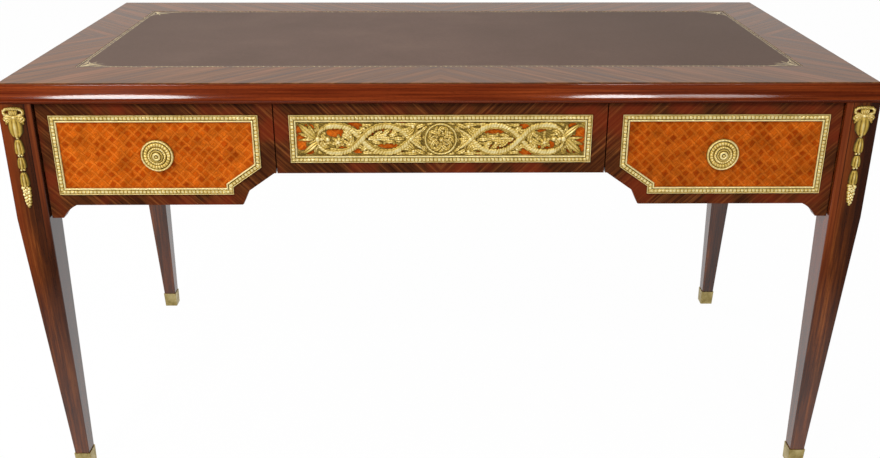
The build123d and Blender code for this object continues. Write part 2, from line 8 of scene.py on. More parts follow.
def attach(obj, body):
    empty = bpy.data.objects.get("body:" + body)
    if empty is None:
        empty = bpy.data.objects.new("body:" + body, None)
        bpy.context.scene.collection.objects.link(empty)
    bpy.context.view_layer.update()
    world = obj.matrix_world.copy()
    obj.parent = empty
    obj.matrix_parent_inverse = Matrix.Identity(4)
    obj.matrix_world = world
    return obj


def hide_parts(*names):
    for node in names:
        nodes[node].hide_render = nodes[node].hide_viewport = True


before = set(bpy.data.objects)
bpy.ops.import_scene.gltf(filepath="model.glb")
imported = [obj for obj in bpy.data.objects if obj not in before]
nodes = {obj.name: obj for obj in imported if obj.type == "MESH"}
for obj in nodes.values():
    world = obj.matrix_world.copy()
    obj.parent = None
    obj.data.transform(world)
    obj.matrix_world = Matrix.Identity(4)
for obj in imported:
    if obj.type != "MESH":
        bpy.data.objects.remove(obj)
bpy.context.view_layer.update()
mm = 0.001
print("frame loaded:", len(nodes), "nodes")


def linear(hexColour):    # sRGB hex to the linear colour that a socket takes
    srgb = np.array([int(hexColour[i:i + 2], 16) for i in (1, 3, 5)]) / 255
    light = np.where(srgb <= 0.04045, srgb / 12.92, ((srgb + 0.055) / 1.055) ** 2.4)
    return (*light, 1.0)


def setInput(tree, socket, value):    # the value is another node's output, a hex colour or a number
    if isinstance(value, bpy.types.NodeSocket):
        tree.links.new(value, socket)
    else:
        socket.default_value = linear(value) if isinstance(value, str) else value


def addNode(tree, kind, *values, output=0, stops=(), **settings):
    # adds a node with its settings, links and colour stops, and hands back one of its outputs; a kind
    # may name an operation, values go to the inputs in turn, and a dictionary says which it fills
    kind, _, operation = kind.partition(" ")
    node = tree.nodes.new("ShaderNode" + kind)
    if operation:
        node.operation = operation
    for name, value in settings.items():
        setattr(node, name, value)
    for index, value in enumerate(values):
        for key, part in (value if isinstance(value, dict) else {index: value}).items():
            setInput(tree, node.inputs[key], part)
    for index, (place, colour) in enumerate(stops):
        elements = node.color_ramp.elements
        element = elements[index] if index < 2 else elements.new(place)
        element.position = place
        element.color = linear(colour)
    return node.outputs[output]


def startMaterial(name):    # hands back the material, addNode for its tree, and the place on the object
    material = bpy.data.materials.new(name)
    material.use_nodes = True
    add = partial(addNode, material.node_tree)
    return material, add, add("TexCoord", output="Object")


def finishMaterial(material, colour, values, bumpHeight, bumpDepth):
    tree = material.node_tree
    bump = addNode(tree, "Bump", {"Height": bumpHeight, "Distance": bumpDepth, "Strength": 1.0})
    for name, value in {"Base Color": colour, **values, "Normal": bump}.items():
        setInput(tree, tree.nodes["Principled BSDF"].inputs[name], value)
    return material


# settings of a Mix of two colours: its factor is input 0, the colours are inputs 6 and 7
over = {"output": 2, "data_type": "RGBA"}
times = {**over, "blend_type": "MULTIPLY"}


def shaded(add, colour, source, low, high, least, most):
    # the colour is multiplied by least where the source is low, and by most where it is high
    shade = add("MapRange", source, low, high, least, most)
    return add("Mix", {0: 1.0, 6: colour, 7: shade}, **times)


def stained(add, colour, source, low, high, share, stain):
    # the stain covers more of the colour as the source goes from low to high, up to a share of it
    mask = add("MapRange", source, low, high, 0.0, share)
    return add("Mix", {0: mask, 6: colour, 7: stain}, **over)


polish = {    # thin old shellac
    "Roughness": 0.5, "Specular IOR Level": 0.0, "Coat Weight": 0.5, "Coat Roughness": 0.1, "Coat IOR": 1.4}
veneer = {    # width and length of the figure
    "stripe": (6.0 * mm, 420.0 * mm),    # broad colour stripes
    "line": (1.6 * mm, 160.0 * mm),      # fine dark lines between them
    "pore": (0.9 * mm, 9.0 * mm),        # real pores are 0.2 mm wide; coarser to show
    "relief": 0.04 * mm,
}


def grainNoise(add, across, along, depth, width, length, detail=2.0, roughness=0.6):
    # noise drawn out along the grain
    ways = [add("Math DIVIDE", way, size)
            for way, size in ((across, width), (along, length), (depth, width))]
    return add("TexNoise", {"Vector": add("CombineXYZ", *ways), "Scale": 1.0, "Detail": detail,
                            "Roughness": roughness})


def stripedGrain(add, across, along, depth, stops, lineColour, lineShare, spread=1.0):
    # stripes of slow noise across the grain, with fine dark lines and short pores over them
    ways = add, across, along, depth
    width, length = veneer["stripe"]
    stripes = grainNoise(*ways, spread * width, length, 3.0, 0.65)
    lines = grainNoise(*ways, *veneer["line"])
    pores = grainNoise(*ways, *veneer["pore"], 1.0, 0.5)
    colour = add("ValToRGB", stripes, stops=stops)
    colour = stained(add, colour, lines, 0.5, 0.68, lineShare, lineColour)
    return stained(add, colour, pores, 0.56, 0.7, 0.35, lineColour), stripes


frieze = {
    "stops": [(0.3, "#2c1309"), (0.43, "#43200e"), (0.55, "#592f14"), (0.7, "#784722")],
    "leaf": (19 * mm, 260 * mm),                            # leaves of veneer differ
    "patch": 14.0, "red": "#6e2711", "brown": "#37190b",    # old polish gone redder or darker in places
}


def friezeVeneer():    # kingwood veneer laid at 45 degrees, so that its stripes meet in a V at the middle
    material, add, place = startMaterial("kingwood_french_polished")
    x, y, z = add("SeparateXYZ", place).node.outputs
    side = add("Math", add("Math ABSOLUTE", x), add("Math ABSOLUTE", y))
    across = add("Math SUBTRACT", z, side)
    along = add("Math", z, side)
    colour, stripes = stripedGrain(add, across, along, 0.0, frieze["stops"], "#220e06", 0.5)
    broad = grainNoise(add, across, along, 5.0, *frieze["leaf"])
    colour = shaded(add, colour, broad, 0.36, 0.64, 0.74, 1.32)
    patches = add("TexNoise", {"Vector": place, "Scale": frieze["patch"], "Detail": 2.0})
    colour = stained(add, colour, patches, 0.48, 0.64, 0.7, frieze["red"])
    colour = stained(add, colour, patches, 0.48, 0.34, 0.55, frieze["brown"])
    return finishMaterial(material, colour, polish, stripes, veneer["relief"])


legs = {    # a leg's inner faces as they taper below the knee, and the light strip beside them, in metres
    "stops": [(0.3, "#3d1a09"), (0.45, "#53270d"), (0.57, "#693410"), (0.72, "#80471c")],
    "knee": 538 * mm, "inner": (686 * mm, 331 * mm), "taper": (7 * mm, 11.5 * mm),
    "half": 28.5 * mm, "taperHalf": 15.5 * mm,
    "stripStops": [(0.35, "#5e280f"), (0.5, "#743415"), (0.68, "#8c461e")],
    "stripFrom": 0.8 * mm, "stripTo": 11 * mm, "stripLow": 470 * mm, "stripHigh": 600 * mm,
    "lineHalf": 0.9 * mm, "line": "#2a1207",
    # painted shade on the side of each leg towards +x, away from the light from the left, and a painted
    # warm glow on its other side: the heights between which the share of it grows, that share, the
    # offsets from the leg's middle, and the colour
    "sides": [(60 * mm, 520 * mm, 0.24, 0.86, 0.0, 17 * mm, "#2a1107"),
              (300 * mm, 560 * mm, 0.0, 0.5, -3 * mm, -22 * mm, "#86350f")],
    "polish": {**polish, "Roughness": 0.4, "Coat Weight": 1.0, "Coat Roughness": 0.08, "Coat IOR": 1.54},
}


def legVeneer():    # upright kingwood with a light strip between dark lines down the inner margin
    material, add, place = startMaterial("kingwood_upright_grain")
    x, y, z = add("SeparateXYZ", place).node.outputs
    colour, stripes = stripedGrain(add, x, z, y, legs["stops"], "#2a1107", 0.45)
    figure = grainNoise(add, x, z, y, 26 * mm, 170 * mm, 2.0, 0.5)
    colour = shaded(add, colour, figure, 0.35, 0.65, 0.62, 1.26)
    down = add("MapRange", z, legs["knee"], 0.0)
    aways = []    # how far a point is from each of the two inner faces
    for value, inner, taper in zip((x, y), legs["inner"], legs["taper"]):
        away = add("Math SUBTRACT", add("Math ABSOLUTE", value), inner)
        aways.append(add("Math SUBTRACT", away, add("Math MULTIPLY", down, taper)))
    middle = add("Math MULTIPLY_ADD", down, -legs["taperHalf"], legs["half"])
    offset = add("Math SUBTRACT", aways[0], middle)
    offset = add("Math MULTIPLY", offset, add("Math SIGN", x))
    # the first pass paints shade on one side of the leg, the second a warm glow on the other
    for low, high, least, most, near, far, wood in legs["sides"]:
        share = add("MapRange", z, low, high, least, most)
        mask = add("Math MULTIPLY", share, add("MapRange", offset, near, far))
        colour = add("Mix", {0: mask, 6: colour, 7: wood}, **over)
    faint = add("MapRange", z, legs["stripLow"], legs["stripHigh"], 0.0, 0.75)
    strip, reach = (legs["stripTo"] + legs["stripFrom"]) / 2, (legs["stripTo"] - legs["stripFrom"]) / 2
    for middle, half, wood in ((strip, reach, add("ValToRGB", stripes, stops=legs["stripStops"])),
                               (legs["stripTo"] + legs["lineHalf"], legs["lineHalf"], legs["line"])):
        marks = []
        for away, other in (aways, aways[::-1]):
            mark = add("Math COMPARE", away, middle, half)
            outside = add("Math GREATER_THAN", other, legs["stripFrom"])
            marks.append(add("Math MULTIPLY", mark, outside))
        mask = add("Math MULTIPLY", add("Math MAXIMUM", *marks), faint)
        colour = add("Mix", {0: mask, 6: colour, 7: wood}, **over)
    return finishMaterial(material, colour, legs["polish"], stripes, veneer["relief"])


crossbanding = {
    "stops": [(0.3, "#563415"), (0.45, "#653d19"), (0.57, "#754923"), (0.72, "#875933")],
    "figure": (32 * mm, 420 * mm), "grey": "#523828", "warm": "#8a5430",
}


def topVeneer():    # kingwood crossbanding, laid at 45 degrees and meeting at the middle of each side
    material, add, place = startMaterial("kingwood_crossbanding")
    width, depth = (add("Math ABSOLUTE", way) for way in add("SeparateXYZ", place).node.outputs[:2])
    across = add("Math SUBTRACT", width, depth)
    along = add("Math", width, depth)
    colour, stripes = stripedGrain(add, across, along, 0.0, crossbanding["stops"], "#4a2d14", 0.36, 2.3)
    broad = grainNoise(add, across, along, 3.0, *crossbanding["figure"], 2.0, 0.55)
    colour = stained(add, colour, broad, 0.52, 0.64, 0.6, crossbanding["grey"])
    colour = stained(add, colour, broad, 0.48, 0.34, 0.6, crossbanding["warm"])
    return finishMaterial(material, colour, polish, stripes, veneer["relief"])


mahogany = {
    "stops": [(0.3, "#541b08"), (0.45, "#6a280e"), (0.58, "#7e3413"), (0.72, "#94431b")],
    "polish": {**polish, "Roughness": 0.4, "Coat Weight": 0.49, "Coat Roughness": 0.09, "Coat IOR": 1.5},
}


def mouldingWood(name, longAxis):    # polished mahogany with its grain along the moulding
    material, add, place = startMaterial(name)
    ways = add("SeparateXYZ", place).node.outputs
    colour, stripes = stripedGrain(add, ways[2], ways[longAxis], ways[1 - longAxis], mahogany["stops"],
                                   "#3c1406", 0.5)
    # painted shade: the moulding darkens towards the right, where less lamp light falls
    colour = shaded(add, colour, ways[0], 0.0, 0.5, 1.0, 0.76)    # darker length on the right
    return finishMaterial(material, colour, mahogany["polish"], stripes, 0.03 * mm)


parquet = {    # cell in metres; band, line and inner square as parts of a cell
    "cell": 12.8 * mm, "band": 0.36, "line": 0.05, "inner": 0.56, "wander": 1.5 * mm,
    "stops": [(0.0, "#9d3c04"), (0.3, "#a74505"), (0.7, "#b24f09"), (1.0, "#bd5b10")],
    "innerWood": "#862f03", "bandWood": "#c06318", "lineWood": "#823403",
}


def parquetry():    # satinwood and amaranth squares, one inside the other, between crossing bands
    material, add, place = startMaterial("satinwood_parquetry")
    x, y, z = add("SeparateXYZ", place).node.outputs
    side = add("Math", x, y)
    # hand-laid: the joints wander by a millimetre
    drift = add("TexNoise", {"Vector": place, "Scale": 85.0, "Detail": 2.0})
    drift = add("MapRange", drift, 0.3, 0.7, -parquet["wander"], parquet["wander"])
    cells, parts = [], []
    for how in ("ADD", "SUBTRACT"):
        slant = add("Math", add("Math " + how, z, side), drift)
        slant = add("Math DIVIDE", slant, parquet["cell"] * 2**0.5)
        cells.append(add("Math FLOOR", slant))
        parts.append(add("Math FRACT", slant))
    chance, depth = (
        add("TexWhiteNoise", {"Vector": add("CombineXYZ", *pair, layer)}, noise_dimensions="3D")
        for pair, layer in ((cells, 0.5), (cells[::-1], 7.5)))
    odd = add("Math FLOORED_MODULO", add("Math", *cells), 2.0)
    grains = [grainNoise(add, *pair, add("Math MULTIPLY", chance, 9.0), 0.14, 0.55, 3.0)
              for pair in (parts, parts[::-1])]
    grain = add("Mix", {0: odd, 2: grains[0], 3: grains[1]})
    colour = add("ValToRGB", chance, stops=parquet["stops"])
    # inner square of each tile, of darker wood in some
    middle, half = (1 + parquet["band"]) / 2, (1 - parquet["band"]) / 2
    offs = [add("Math ABSOLUTE", add("Math SUBTRACT", part, middle)) for part in parts]
    inner = add("Math LESS_THAN", add("Math MAXIMUM", *offs), half * parquet["inner"])
    layers = [(inner, add("MapRange", depth, 0.3, 1.0, 0.0, 0.42), parquet["innerWood"])]
    bands = [add("Math LESS_THAN", part, parquet["band"]) for part in parts]
    layers += [(band, 0.6, parquet["bandWood"]) for band in bands]
    # a line along both edges of a band, hidden in turn where the other band crosses over it
    edge = parquet["band"] / 2
    for part, other, hidden in zip(parts, bands[::-1], (odd, add("Math SUBTRACT", 1.0, odd))):
        distance = add("Math ABSOLUTE", add("Math SUBTRACT", part, edge))
        line = add("Math COMPARE", distance, edge, parquet["line"])
        covered = add("Math MULTIPLY", other, hidden)
        line = add("Math SUBTRACT", line, covered, use_clamp=True)
        layers.append((line, 0.42, parquet["lineWood"]))
    for mask, share, wood in layers:
        colour = add("Mix", {0: add("Math MULTIPLY", mask, share), 6: colour, 7: wood}, **over)
    colour = shaded(add, colour, grain, 0.3, 0.7, 0.76, 1.22)
    age = add("TexNoise", {"Vector": place, "Scale": 46.0, "Detail": 4.0})
    colour = shaded(add, colour, age, 0.3, 0.7, 0.74, 1.3)        # faded unevenly
    # painted shade: the parquetry darkens towards the right, where less lamp light falls
    colour = shaded(add, colour, x, -0.2, 0.35, 1.02, 0.86)       # the right panel is darker
    return finishMaterial(material, colour, polish, grain, 0.02 * mm)


leather = {    # real grain is 0.4 mm across; 1.4 mm shows
    "grain": 1.4 * mm, "stops": [(0.3, "#574032"), (0.5, "#5d4538"), (0.7, "#644c3e")],
    # painted shade: the colour the leather darkens to, the middle of the lit pool, and the distances from it
    # over which the shade grows
    "shadeColour": "#4e3829", "lightMiddle": -0.12, "shadeFrom": 0.12, "shadeTo": 0.62,
}


def deskLeather():    # waxed calf, brown gone uneven with use, with painted shade away from a pool of light left of its middle
    material, add, place = startMaterial("waxed_calf_leather")
    clouds = add("TexNoise", {"Vector": place, "Scale": 6.0, "Detail": 4.0, "Roughness": 0.65})
    specks = add("TexNoise", {"Vector": place, "Scale": 160.0, "Detail": 2.0, "Roughness": 0.7})
    grain = add("TexVoronoi", {"Vector": place, "Scale": 1 / leather["grain"]}, feature="SMOOTH_F1")
    colour = add("ValToRGB", clouds, stops=leather["stops"])
    # painted shade: darker away from a pool of light at x = -0.12, most towards the right end
    away = add("Math", add("SeparateXYZ", place), -leather["lightMiddle"])
    away = add("Math ABSOLUTE", away)
    colour = stained(add, colour, away, leather["shadeFrom"], leather["shadeTo"], 0.7, leather["shadeColour"])
    colour = shaded(add, colour, specks, 0.35, 0.65, 0.93, 1.06)
    values = {"Roughness": 0.55, "Specular IOR Level": 0.12}
    return finishMaterial(material, colour, values, grain, 0.12 * mm)


metals = {    # metal and dull are the same all over, or run from one value to another with the rubbing, and on the mounts also with their relief
    "fire_gilt_bronze": {    # brown lacquer left in the hollows and burnish on the high parts, with painted shade in the hollows and a painted highlight on the crests
        "noise": {"Scale": 60.0, "Detail": 3.0, "Roughness": 0.6}, "shine": (0.3, 0.7, -0.12, 0.12),
        "stops": [(0.0, "#3d2e0c"), (0.25, "#856a22"), (0.6, "#d8b550"), (1.0, "#fff1b4")],
        "metal": 0.36, "dull": (0.0, 1.0, 0.6, 0.34), "relief": 0.1 * mm},
    "rubbed_gilt_bronze": {    # the same gilding on the plain shoes, rubbed along its edges
        "noise": {"Scale": 45.0, "Detail": 4.0, "Roughness": 0.65},
        "stops": [(0.3, "#8b7944"), (0.5, "#a6945e"), (0.7, "#bfaf7c")],
        "metal": 0.75, "dull": (0.3, 0.7, 0.5, 0.36), "relief": 0.15 * mm},
    "old_steel": {    # hand-made screws, grey with brown rust
        "noise": {"Scale": 500.0, "Detail": 2.0},
        "stops": [(0.35, "#6b6a69"), (0.55, "#8b8a88"), (0.75, "#74604e")],
        "metal": 1.0, "dull": 0.42, "relief": 0.05 * mm},
    "rubbed_gold_leaf": {    # rubbed thin in places so that the leather shows through
        "noise": {"Scale": 120.0, "Detail": 3.0, "Roughness": 0.7},
        "stops": [(0.38, "#77644f"), (0.5, "#b9a476"), (0.66, "#d6c48e")],
        "metal": (0.42, 0.58, 0.0, 0.6), "dull": 0.45, "relief": 0.02 * mm},
}


def rubbedMetal(name):    # metal whose colour and gloss follow the rubbing and a mount's own high parts; on a mount the colour carries painted shade and highlight
    material, add, place = startMaterial(name)
    look = metals[name]
    noise = add("TexNoise", {"Vector": place, **look["noise"]})
    rubAndShine = noise
    if "shine" in look:
        # the mount's relief: hollows painted dark and crests painted pale, as real lacquer and burnish and as
        # painted shade and highlight
        shine = add("Attribute", output="Fac", attribute_name="shine")
        rubAndShine = add("Math", shine, add("MapRange", noise, *look["shine"]), use_clamp=True)
    metal, dull = (add("MapRange", rubAndShine, *part) if isinstance(part, tuple) else part
                   for part in (look["metal"], look["dull"]))
    return finishMaterial(material, add("ValToRGB", rubAndShine, stops=look["stops"]),
                          {"Metallic": metal, "Roughness": dull}, noise, look["relief"])


def planedOak(name, longAxis, stops):    # plain oak with open pores, left unpolished
    material, add, place = startMaterial(name)
    ways = add("SeparateXYZ", place).node.outputs
    across, depth = (ways[k] for k in range(3) if k != longAxis)
    grain = grainNoise(add, across, ways[longAxis], depth, 6 * mm, 240 * mm, 4.0)
    pores = grainNoise(add, across, ways[longAxis], depth, 0.9 * mm, 12 * mm, 1.0)
    colour = stained(add, add("ValToRGB", grain, stops=stops), pores, 0.56, 0.68, 0.5, "#4f351d")
    values = {"Roughness": 0.7, "Specular IOR Level": 0.25}
    return finishMaterial(material, colour, values, pores, 0.15 * mm)


carcase = [(0.3, "#7d5a36"), (0.5, "#987146"), (0.7, "#ab8557")]
lining = [(0.3, "#9a7447"), (0.5, "#b18a59"), (0.7, "#c29e6d")]
finishes = {    # names of CAD nodes, and what they are made of
    "drawer_*_front side_apron_* back_apron kneehole_cheek_*": friezeVeneer(),
    "leg_*": legVeneer(),
    "top_banding_*": topVeneer(),
    "*_parquetry": parquetry(),
    "writing_leather": deskLeather(),
    "sabot_*": rubbedMetal("rubbed_gilt_bronze"),
    "top_core front_rail corner_blocks": planedOak("oak_boards_long", 0, carcase),
    "drawer_divider_* drawer_runners": planedOak("oak_boards_deep", 1, carcase),
    "drawer_*_back drawer_*_bottom": planedOak("oak_lining_long", 0, lining),
    "drawer_*_sides": planedOak("oak_lining_deep", 1, lining),
    "top_screws": rubbedMetal("old_steel"),
}
for patterns, material in finishes.items():
    for name in nodes:
        if any(fnmatch(name, pattern) for pattern in patterns.split()):
            nodes[name].data.materials.clear()
            nodes[name].data.materials.append(material)
ormolu = rubbedMetal("fire_gilt_bronze")
print("veneers, leather and linings laid")


# where a mount is laid: the middle of its plane, which seen from the middle of the desk is the way out
faces = {"front": (0, -381, 0), "back": (0, 381, 0), "right": (736, 0, 0), "left": (-736, 0, 0),
         "frontLeg": (0, -388, 0), "backLeg": (0, 388, 0), "top": (0, 0, 779.5)}


def laidOn(face, grids, centre=(0, 0)):
    # point = start + right * x + up * y + out * height; the way to the right is the cross product of
    # the way up and the way out
    start = np.array(faces[face], float)
    out = start / np.linalg.norm(start)
    up = np.array((0.0, 1.0, 0.0) if face == "top" else (0.0, 0.0, 1.0))
    right = np.cross(up, out)
    return [(start + right * (points[..., [0]] + centre[0]) + up * (points[..., [1]] + centre[1])
             + out * points[..., [2]], shine) for points, shine in grids]


def addObject(name, data):
    piece = bpy.data.objects.new(name, data)
    bpy.context.scene.collection.objects.link(piece)
    return piece


def makePiece(name, grids, body, *replaced, material=ormolu, slot="ormolu", sharpAngle=42.0):
    # a grid's squares run (row, column), (row, column + 1), (row + 1, column + 1), (row + 1, column);
    # its equal points become one point, and a square with two equal corners becomes a triangle
    points, shines, squares, count = [], [], [], 0
    for grid, shine in grids:
        flat = grid.reshape(-1, 3)
        first, place = np.unique(np.round(flat, 4), axis=0, return_index=True, return_inverse=True)[1:]
        place = place.reshape(shine.shape) + count
        square = np.stack([place[:-1, :-1], place[:-1, 1:], place[1:, 1:], place[1:, :-1]], axis=2)
        squares.append(square.reshape(-1, 4))
        points.append(flat[first])
        shines.append(shine.ravel()[first])
        count += len(first)
    points, shines, squares = (np.concatenate(parts) for parts in (points, shines, squares))
    keep = squares != np.roll(squares, -1, axis=1)
    corners = keep.sum(axis=1)
    keep &= (corners >= 3)[:, None]
    corners = corners[corners >= 3]
    mesh = bpy.data.meshes.new(name)
    mesh.vertices.add(len(points))
    mesh.vertices.foreach_set("co", (points * mm).ravel())
    mesh.loops.add(int(corners.sum()))
    mesh.loops.foreach_set("vertex_index", squares[keep])
    mesh.polygons.add(len(corners))
    mesh.polygons.foreach_set("loop_start", np.r_[0, np.cumsum(corners)[:-1]])
    mesh.update(calc_edges=True)
    # each point's shine, which the gilt bronze shows as real lacquer and burnish and as painted shade and
    # highlight
    mesh.attributes.new("shine", "FLOAT", "POINT").data.foreach_set("value", shines)
    mesh.validate()
    mesh.shade_smooth()
    mesh.set_sharp_from_angle(angle=np.radians(sharpAngle))
    mesh.materials.append(material)
    piece = addObject(name, mesh)
    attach(piece, body)
    if replaced:
        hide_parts(*replaced)


def curveThrough(controls, count):
    # cubic curve through the controls: each tangent is the slope between its neighbours, and the
    # points stand at equal steps of the distance from control to control; with the points it hands
    # back how far along the curve each one is, from 0 to 1
    controls = np.array(controls, float)
    if controls.shape[1] == 2:
        controls = np.pad(controls, ((0, 0), (0, 1)))
    reach = np.r_[0, np.cumsum(np.linalg.norm(np.diff(controls[:, :2], axis=0), axis=1))]
    slopes = np.gradient(controls, reach, axis=0)
    places = np.linspace(0, reach[-1], count)
    span = np.clip(np.searchsorted(reach, places, side="right") - 1, 0, len(reach) - 2)
    length = (reach[span + 1] - reach[span])[:, None]
    t = (places - reach[span])[:, None] / length
    path = ((2 * t**3 - 3 * t**2 + 1) * controls[span] + (t**3 - 2 * t**2 + t) * length * slopes[span]
            + (3 * t**2 - 2 * t**3) * controls[span + 1] + (t**3 - t**2) * length * slopes[span + 1])
    return path, np.linspace(0.0, 1.0, count)[:, None]


# section of the edge moulding, out from the arris and up from the underside: a bead under the
# banding, a long slope with a flatter band below it, a round nose, and a quirk over the underside
edgeMoulding = {
    "top": [(-18.0, 0.0), (-18.0, 32.0), (0.0, 32.0), (0.45, 31.95), (1.0, 31.7), (1.55, 31.25),
            (1.95, 30.6), (2.2, 29.95), (2.2, 29.5), (2.05, 29.2)],
    # distance down the face, and degrees its normal looks up
    "face": [(0.0, 22.0), (1.6, 23.6), (12.8, 24.2), (14.6, 25.3), (16.8, 27.0), (18.9, 28.8),
             (20.4, 30.4), (21.2, 26.0), (23.0, 14.0), (24.9, 0.0), (27.3, -46.0), (29.4, -82.0)],
    "foot": [(7.0, 3.4), (6.0, 3.0), (5.5, 2.2), (5.5, 0.0), (-18.0, 0.0)],
    "reach": 12.0, "low": 3.6, "underside": 746, "half": (738.0, 383.0), "rows": 40, "facePoints": 60,
    "inside": (-2, 15),    # where the ends close
}


def edgeGrid(halfLength, halfAcross):
    # the face is the running sum of (sin, -cos) of its normal's angle; the section is carried along
    # one side: x runs between mitres at halfLength + out, the outer face stands at
    # y = -(halfAcross + out), and each end closes on a point inside the section
    distance, angle = np.array(edgeMoulding["face"]).T
    places = np.linspace(0, distance[-1], edgeMoulding["facePoints"])
    angles = np.radians(np.interp(places, distance, angle))
    steps = np.diff(places, prepend=0)
    out, up = np.cumsum(np.sin(angles) * steps), -np.cumsum(np.cos(angles) * steps)
    face = np.stack([out + edgeMoulding["reach"] - out.max(), up + edgeMoulding["low"] - up.min()], axis=1)
    section = np.concatenate([edgeMoulding["top"], face, edgeMoulding["foot"]])
    end = [np.full_like(section, edgeMoulding["inside"])]
    out, up = np.moveaxis(np.stack(end + [section] * edgeMoulding["rows"] + end), 2, 0)
    spread = np.r_[-1.0, np.linspace(-1.0, 1.0, edgeMoulding["rows"]), 1.0][:, None]
    points = np.stack([spread * (halfLength + out), -(halfAcross + out), edgeMoulding["underside"] + up],
                      axis=2)
    return points, np.ones(out.shape)


quarters = {"front": (1, 0), "right": (0, 1), "back": (-1, 0), "left": (0, -1)}    # cosine and sine
for side, (cos, sin) in quarters.items():
    points, shine = edgeGrid(*edgeMoulding["half"][::1 if cos else -1])
    x, y, z = np.moveaxis(points, 2, 0)
    points = np.stack([cos * x - sin * y, sin * x + cos * y, z], axis=2)
    makePiece(f"moulding_{side}", [(points, shine)], "desk", f"edge_moulding_{side}", sharpAngle=50.0,
              material=mouldingWood(f"mahogany_moulding_{side}", abs(sin)), slot="moulding_wood")
print("edge moulding planed")


def raisedAlong(path, half, across, heights, shine):
    # a solid bar along a path: point = path + across * half width * the way to its right, at its
    # height; the sides drop to the ground, and each end closes on a ground point
    way = np.gradient(path[:, :2], axis=0)
    way /= np.linalg.norm(way, axis=1)[:, None]
    side = np.stack([way[:, 1], -way[:, 0]], axis=1)
    spread = np.r_[-1, across, 1, -1]
    heights = np.pad(heights, ((0, 0), (1, 2)))
    shine = np.pad(shine, ((1, 1), (1, 2)))
    flat = path[:, None, :2] + (spread * half[:, None])[..., None] * side[:, None]
    points = np.concatenate([flat, heights[..., None]], axis=2)
    ends = [np.broadcast_to((*path[end, :2], 0.0), points[:1].shape) for end in (0, -1)]
    return np.concatenate([ends[0], points, ends[1]]), shine


def leaf(controls, width, height, lobes, ground=0.6, rows=24):
    # acanthus leaf: half width = width / 2 * sin(pi * t^0.7)^0.6, scalloped between its lobes; it
    # is domed across, creased down the middle, and ribbed towards each lobe
    path, t = curveThrough(controls, rows)
    swell = np.sin(np.pi * np.clip(t, 0.004, 0.996) ** 0.7) ** 0.6
    scallop = 1 - 0.3 * (0.5 + 0.5 * np.cos(2 * np.pi * lobes * t)) ** 1.5
    across = np.array([-1, -0.85, -0.6, -0.35, -0.14, 0, 0.14, 0.35, 0.6, 0.85, 1])
    dome = np.sqrt(1.02 - across**2)
    crease = 1 - 0.5 * np.exp(-(across / 0.16) ** 2)
    rib = 1 - 0.2 * (0.5 + 0.5 * np.cos(2 * np.pi * lobes * (t - 0.12 * np.abs(across))))
    body = swell**0.5 * dome * crease * rib
    return raisedAlong(path, (width / 2 * swell * scallop)[:, 0], across,
                       path[:, 2:] + ground + height * body, body**1.4)


def ribbon(controls, width, thickness, rows, notch, ends, scallop):
    # rounded strap: height = thickness * (0.35 + 0.65 * sqrt(1 - across^2)), scored with a line
    # along it and nicked aslant every notch millimetres, deeper in some stretches than in others;
    # half width = width / 2 * (1 - scallop * cos(pi * distance / (1.6 * notch))^4)
    path, t = curveThrough(controls, rows)
    far = np.linalg.norm(np.diff(path[:, :2], axis=0), axis=1).sum() * t
    across = np.array([-1, -0.92, -0.78, -0.64, -0.54, -0.44, -0.22, 0,
                       0.22, 0.44, 0.54, 0.64, 0.78, 0.92, 1])
    score = np.exp(-((across + 0.6) / 0.12) ** 2)
    nick = (0.5 - 0.5 * np.cos(2 * np.pi * (far / notch + 0.6 * across))) ** 2 * (across > -0.5)
    depth = 0.3 + 0.2 * np.sin(far / 7.3 + 1.0) * np.sin(far / 4.1)
    body = 0.35 + 0.65 * np.sqrt(1.001 - across**2) - 0.24 * score - depth * nick
    half = width / 2 * (ends + (1 - ends) * np.minimum(1, 6 * np.minimum(t, 1 - t)))
    half = (half * (1 - scallop * np.cos(np.pi * far / (1.6 * notch)) ** 4))[:, 0]
    return raisedAlong(path, half, across, path[:, 2:] + thickness * body,
                       np.clip(1.15 * body - 0.3 * score - 0.2, 0, 1) + 0 * t)


# parts of the length and of the width of a husk
huskShape = [(0, 0.42), (0.08, 0.64), (0.3, 0.84), (0.55, 0.95), (0.8, 1.0), (0.93, 0.95), (1, 0.7)]
bellShape = [(0, 0.5), (0.08, 0.76), (0.3, 0.94), (0.55, 1.0), (0.8, 0.92), (0.92, 0.72), (1, 0.5)]


def husk(top, foot, width, height, lobes=3, shape=huskShape, rows=26):
    # bell of joined leaves down the y axis: its width follows the shape's pairs, each leaf is rounded
    # across as |sin(lobes * pi * across / 2)|, and every leaf ends in a tip
    path, t = curveThrough([(0, top), (0, (top + foot) / 2), (0, foot)], rows)
    across = np.linspace(-1, 1, 8 * lobes + 1)
    half = width / 2 * np.interp(t[:, 0], *np.array(shape).T)
    lobe = np.abs(np.sin(lobes * np.pi * (across + 1) / 2)) ** 0.7
    dome = np.sqrt(1.02 - across**2)
    swell = np.interp(t, [0, 0.1, 0.4, 0.8, 0.95, 1], [0.45, 0.8, 1.0, 0.85, 0.9, 0.4])
    body = dome * swell * (1 - 0.5 * (1 - lobe) * np.minimum(1, 4 * t))
    points, shine = raisedAlong(path, half, across, 0.4 + height * body, 0.02 + 0.88 * body**1.5)
    points[1:-1, 1:-2, 1] -= 0.14 * (top - foot) * (lobe - 0.5) * t**5
    return points, np.clip(shine, 0, 1)


def stem(controls, width, height, rows=24):
    # round stalk that tapers to its far end: height = height * sqrt(1 - across^2)
    path, t = curveThrough(controls, rows)
    across = np.linspace(-1, 1, 9)
    body = np.sqrt(1.01 - across**2) * (1 - 0.55 * t)
    return raisedAlong(path, (width / 2 * (1 - 0.55 * t))[:, 0], across, path[:, 2:] + height * body,
                       0.3 + 0.7 * body)


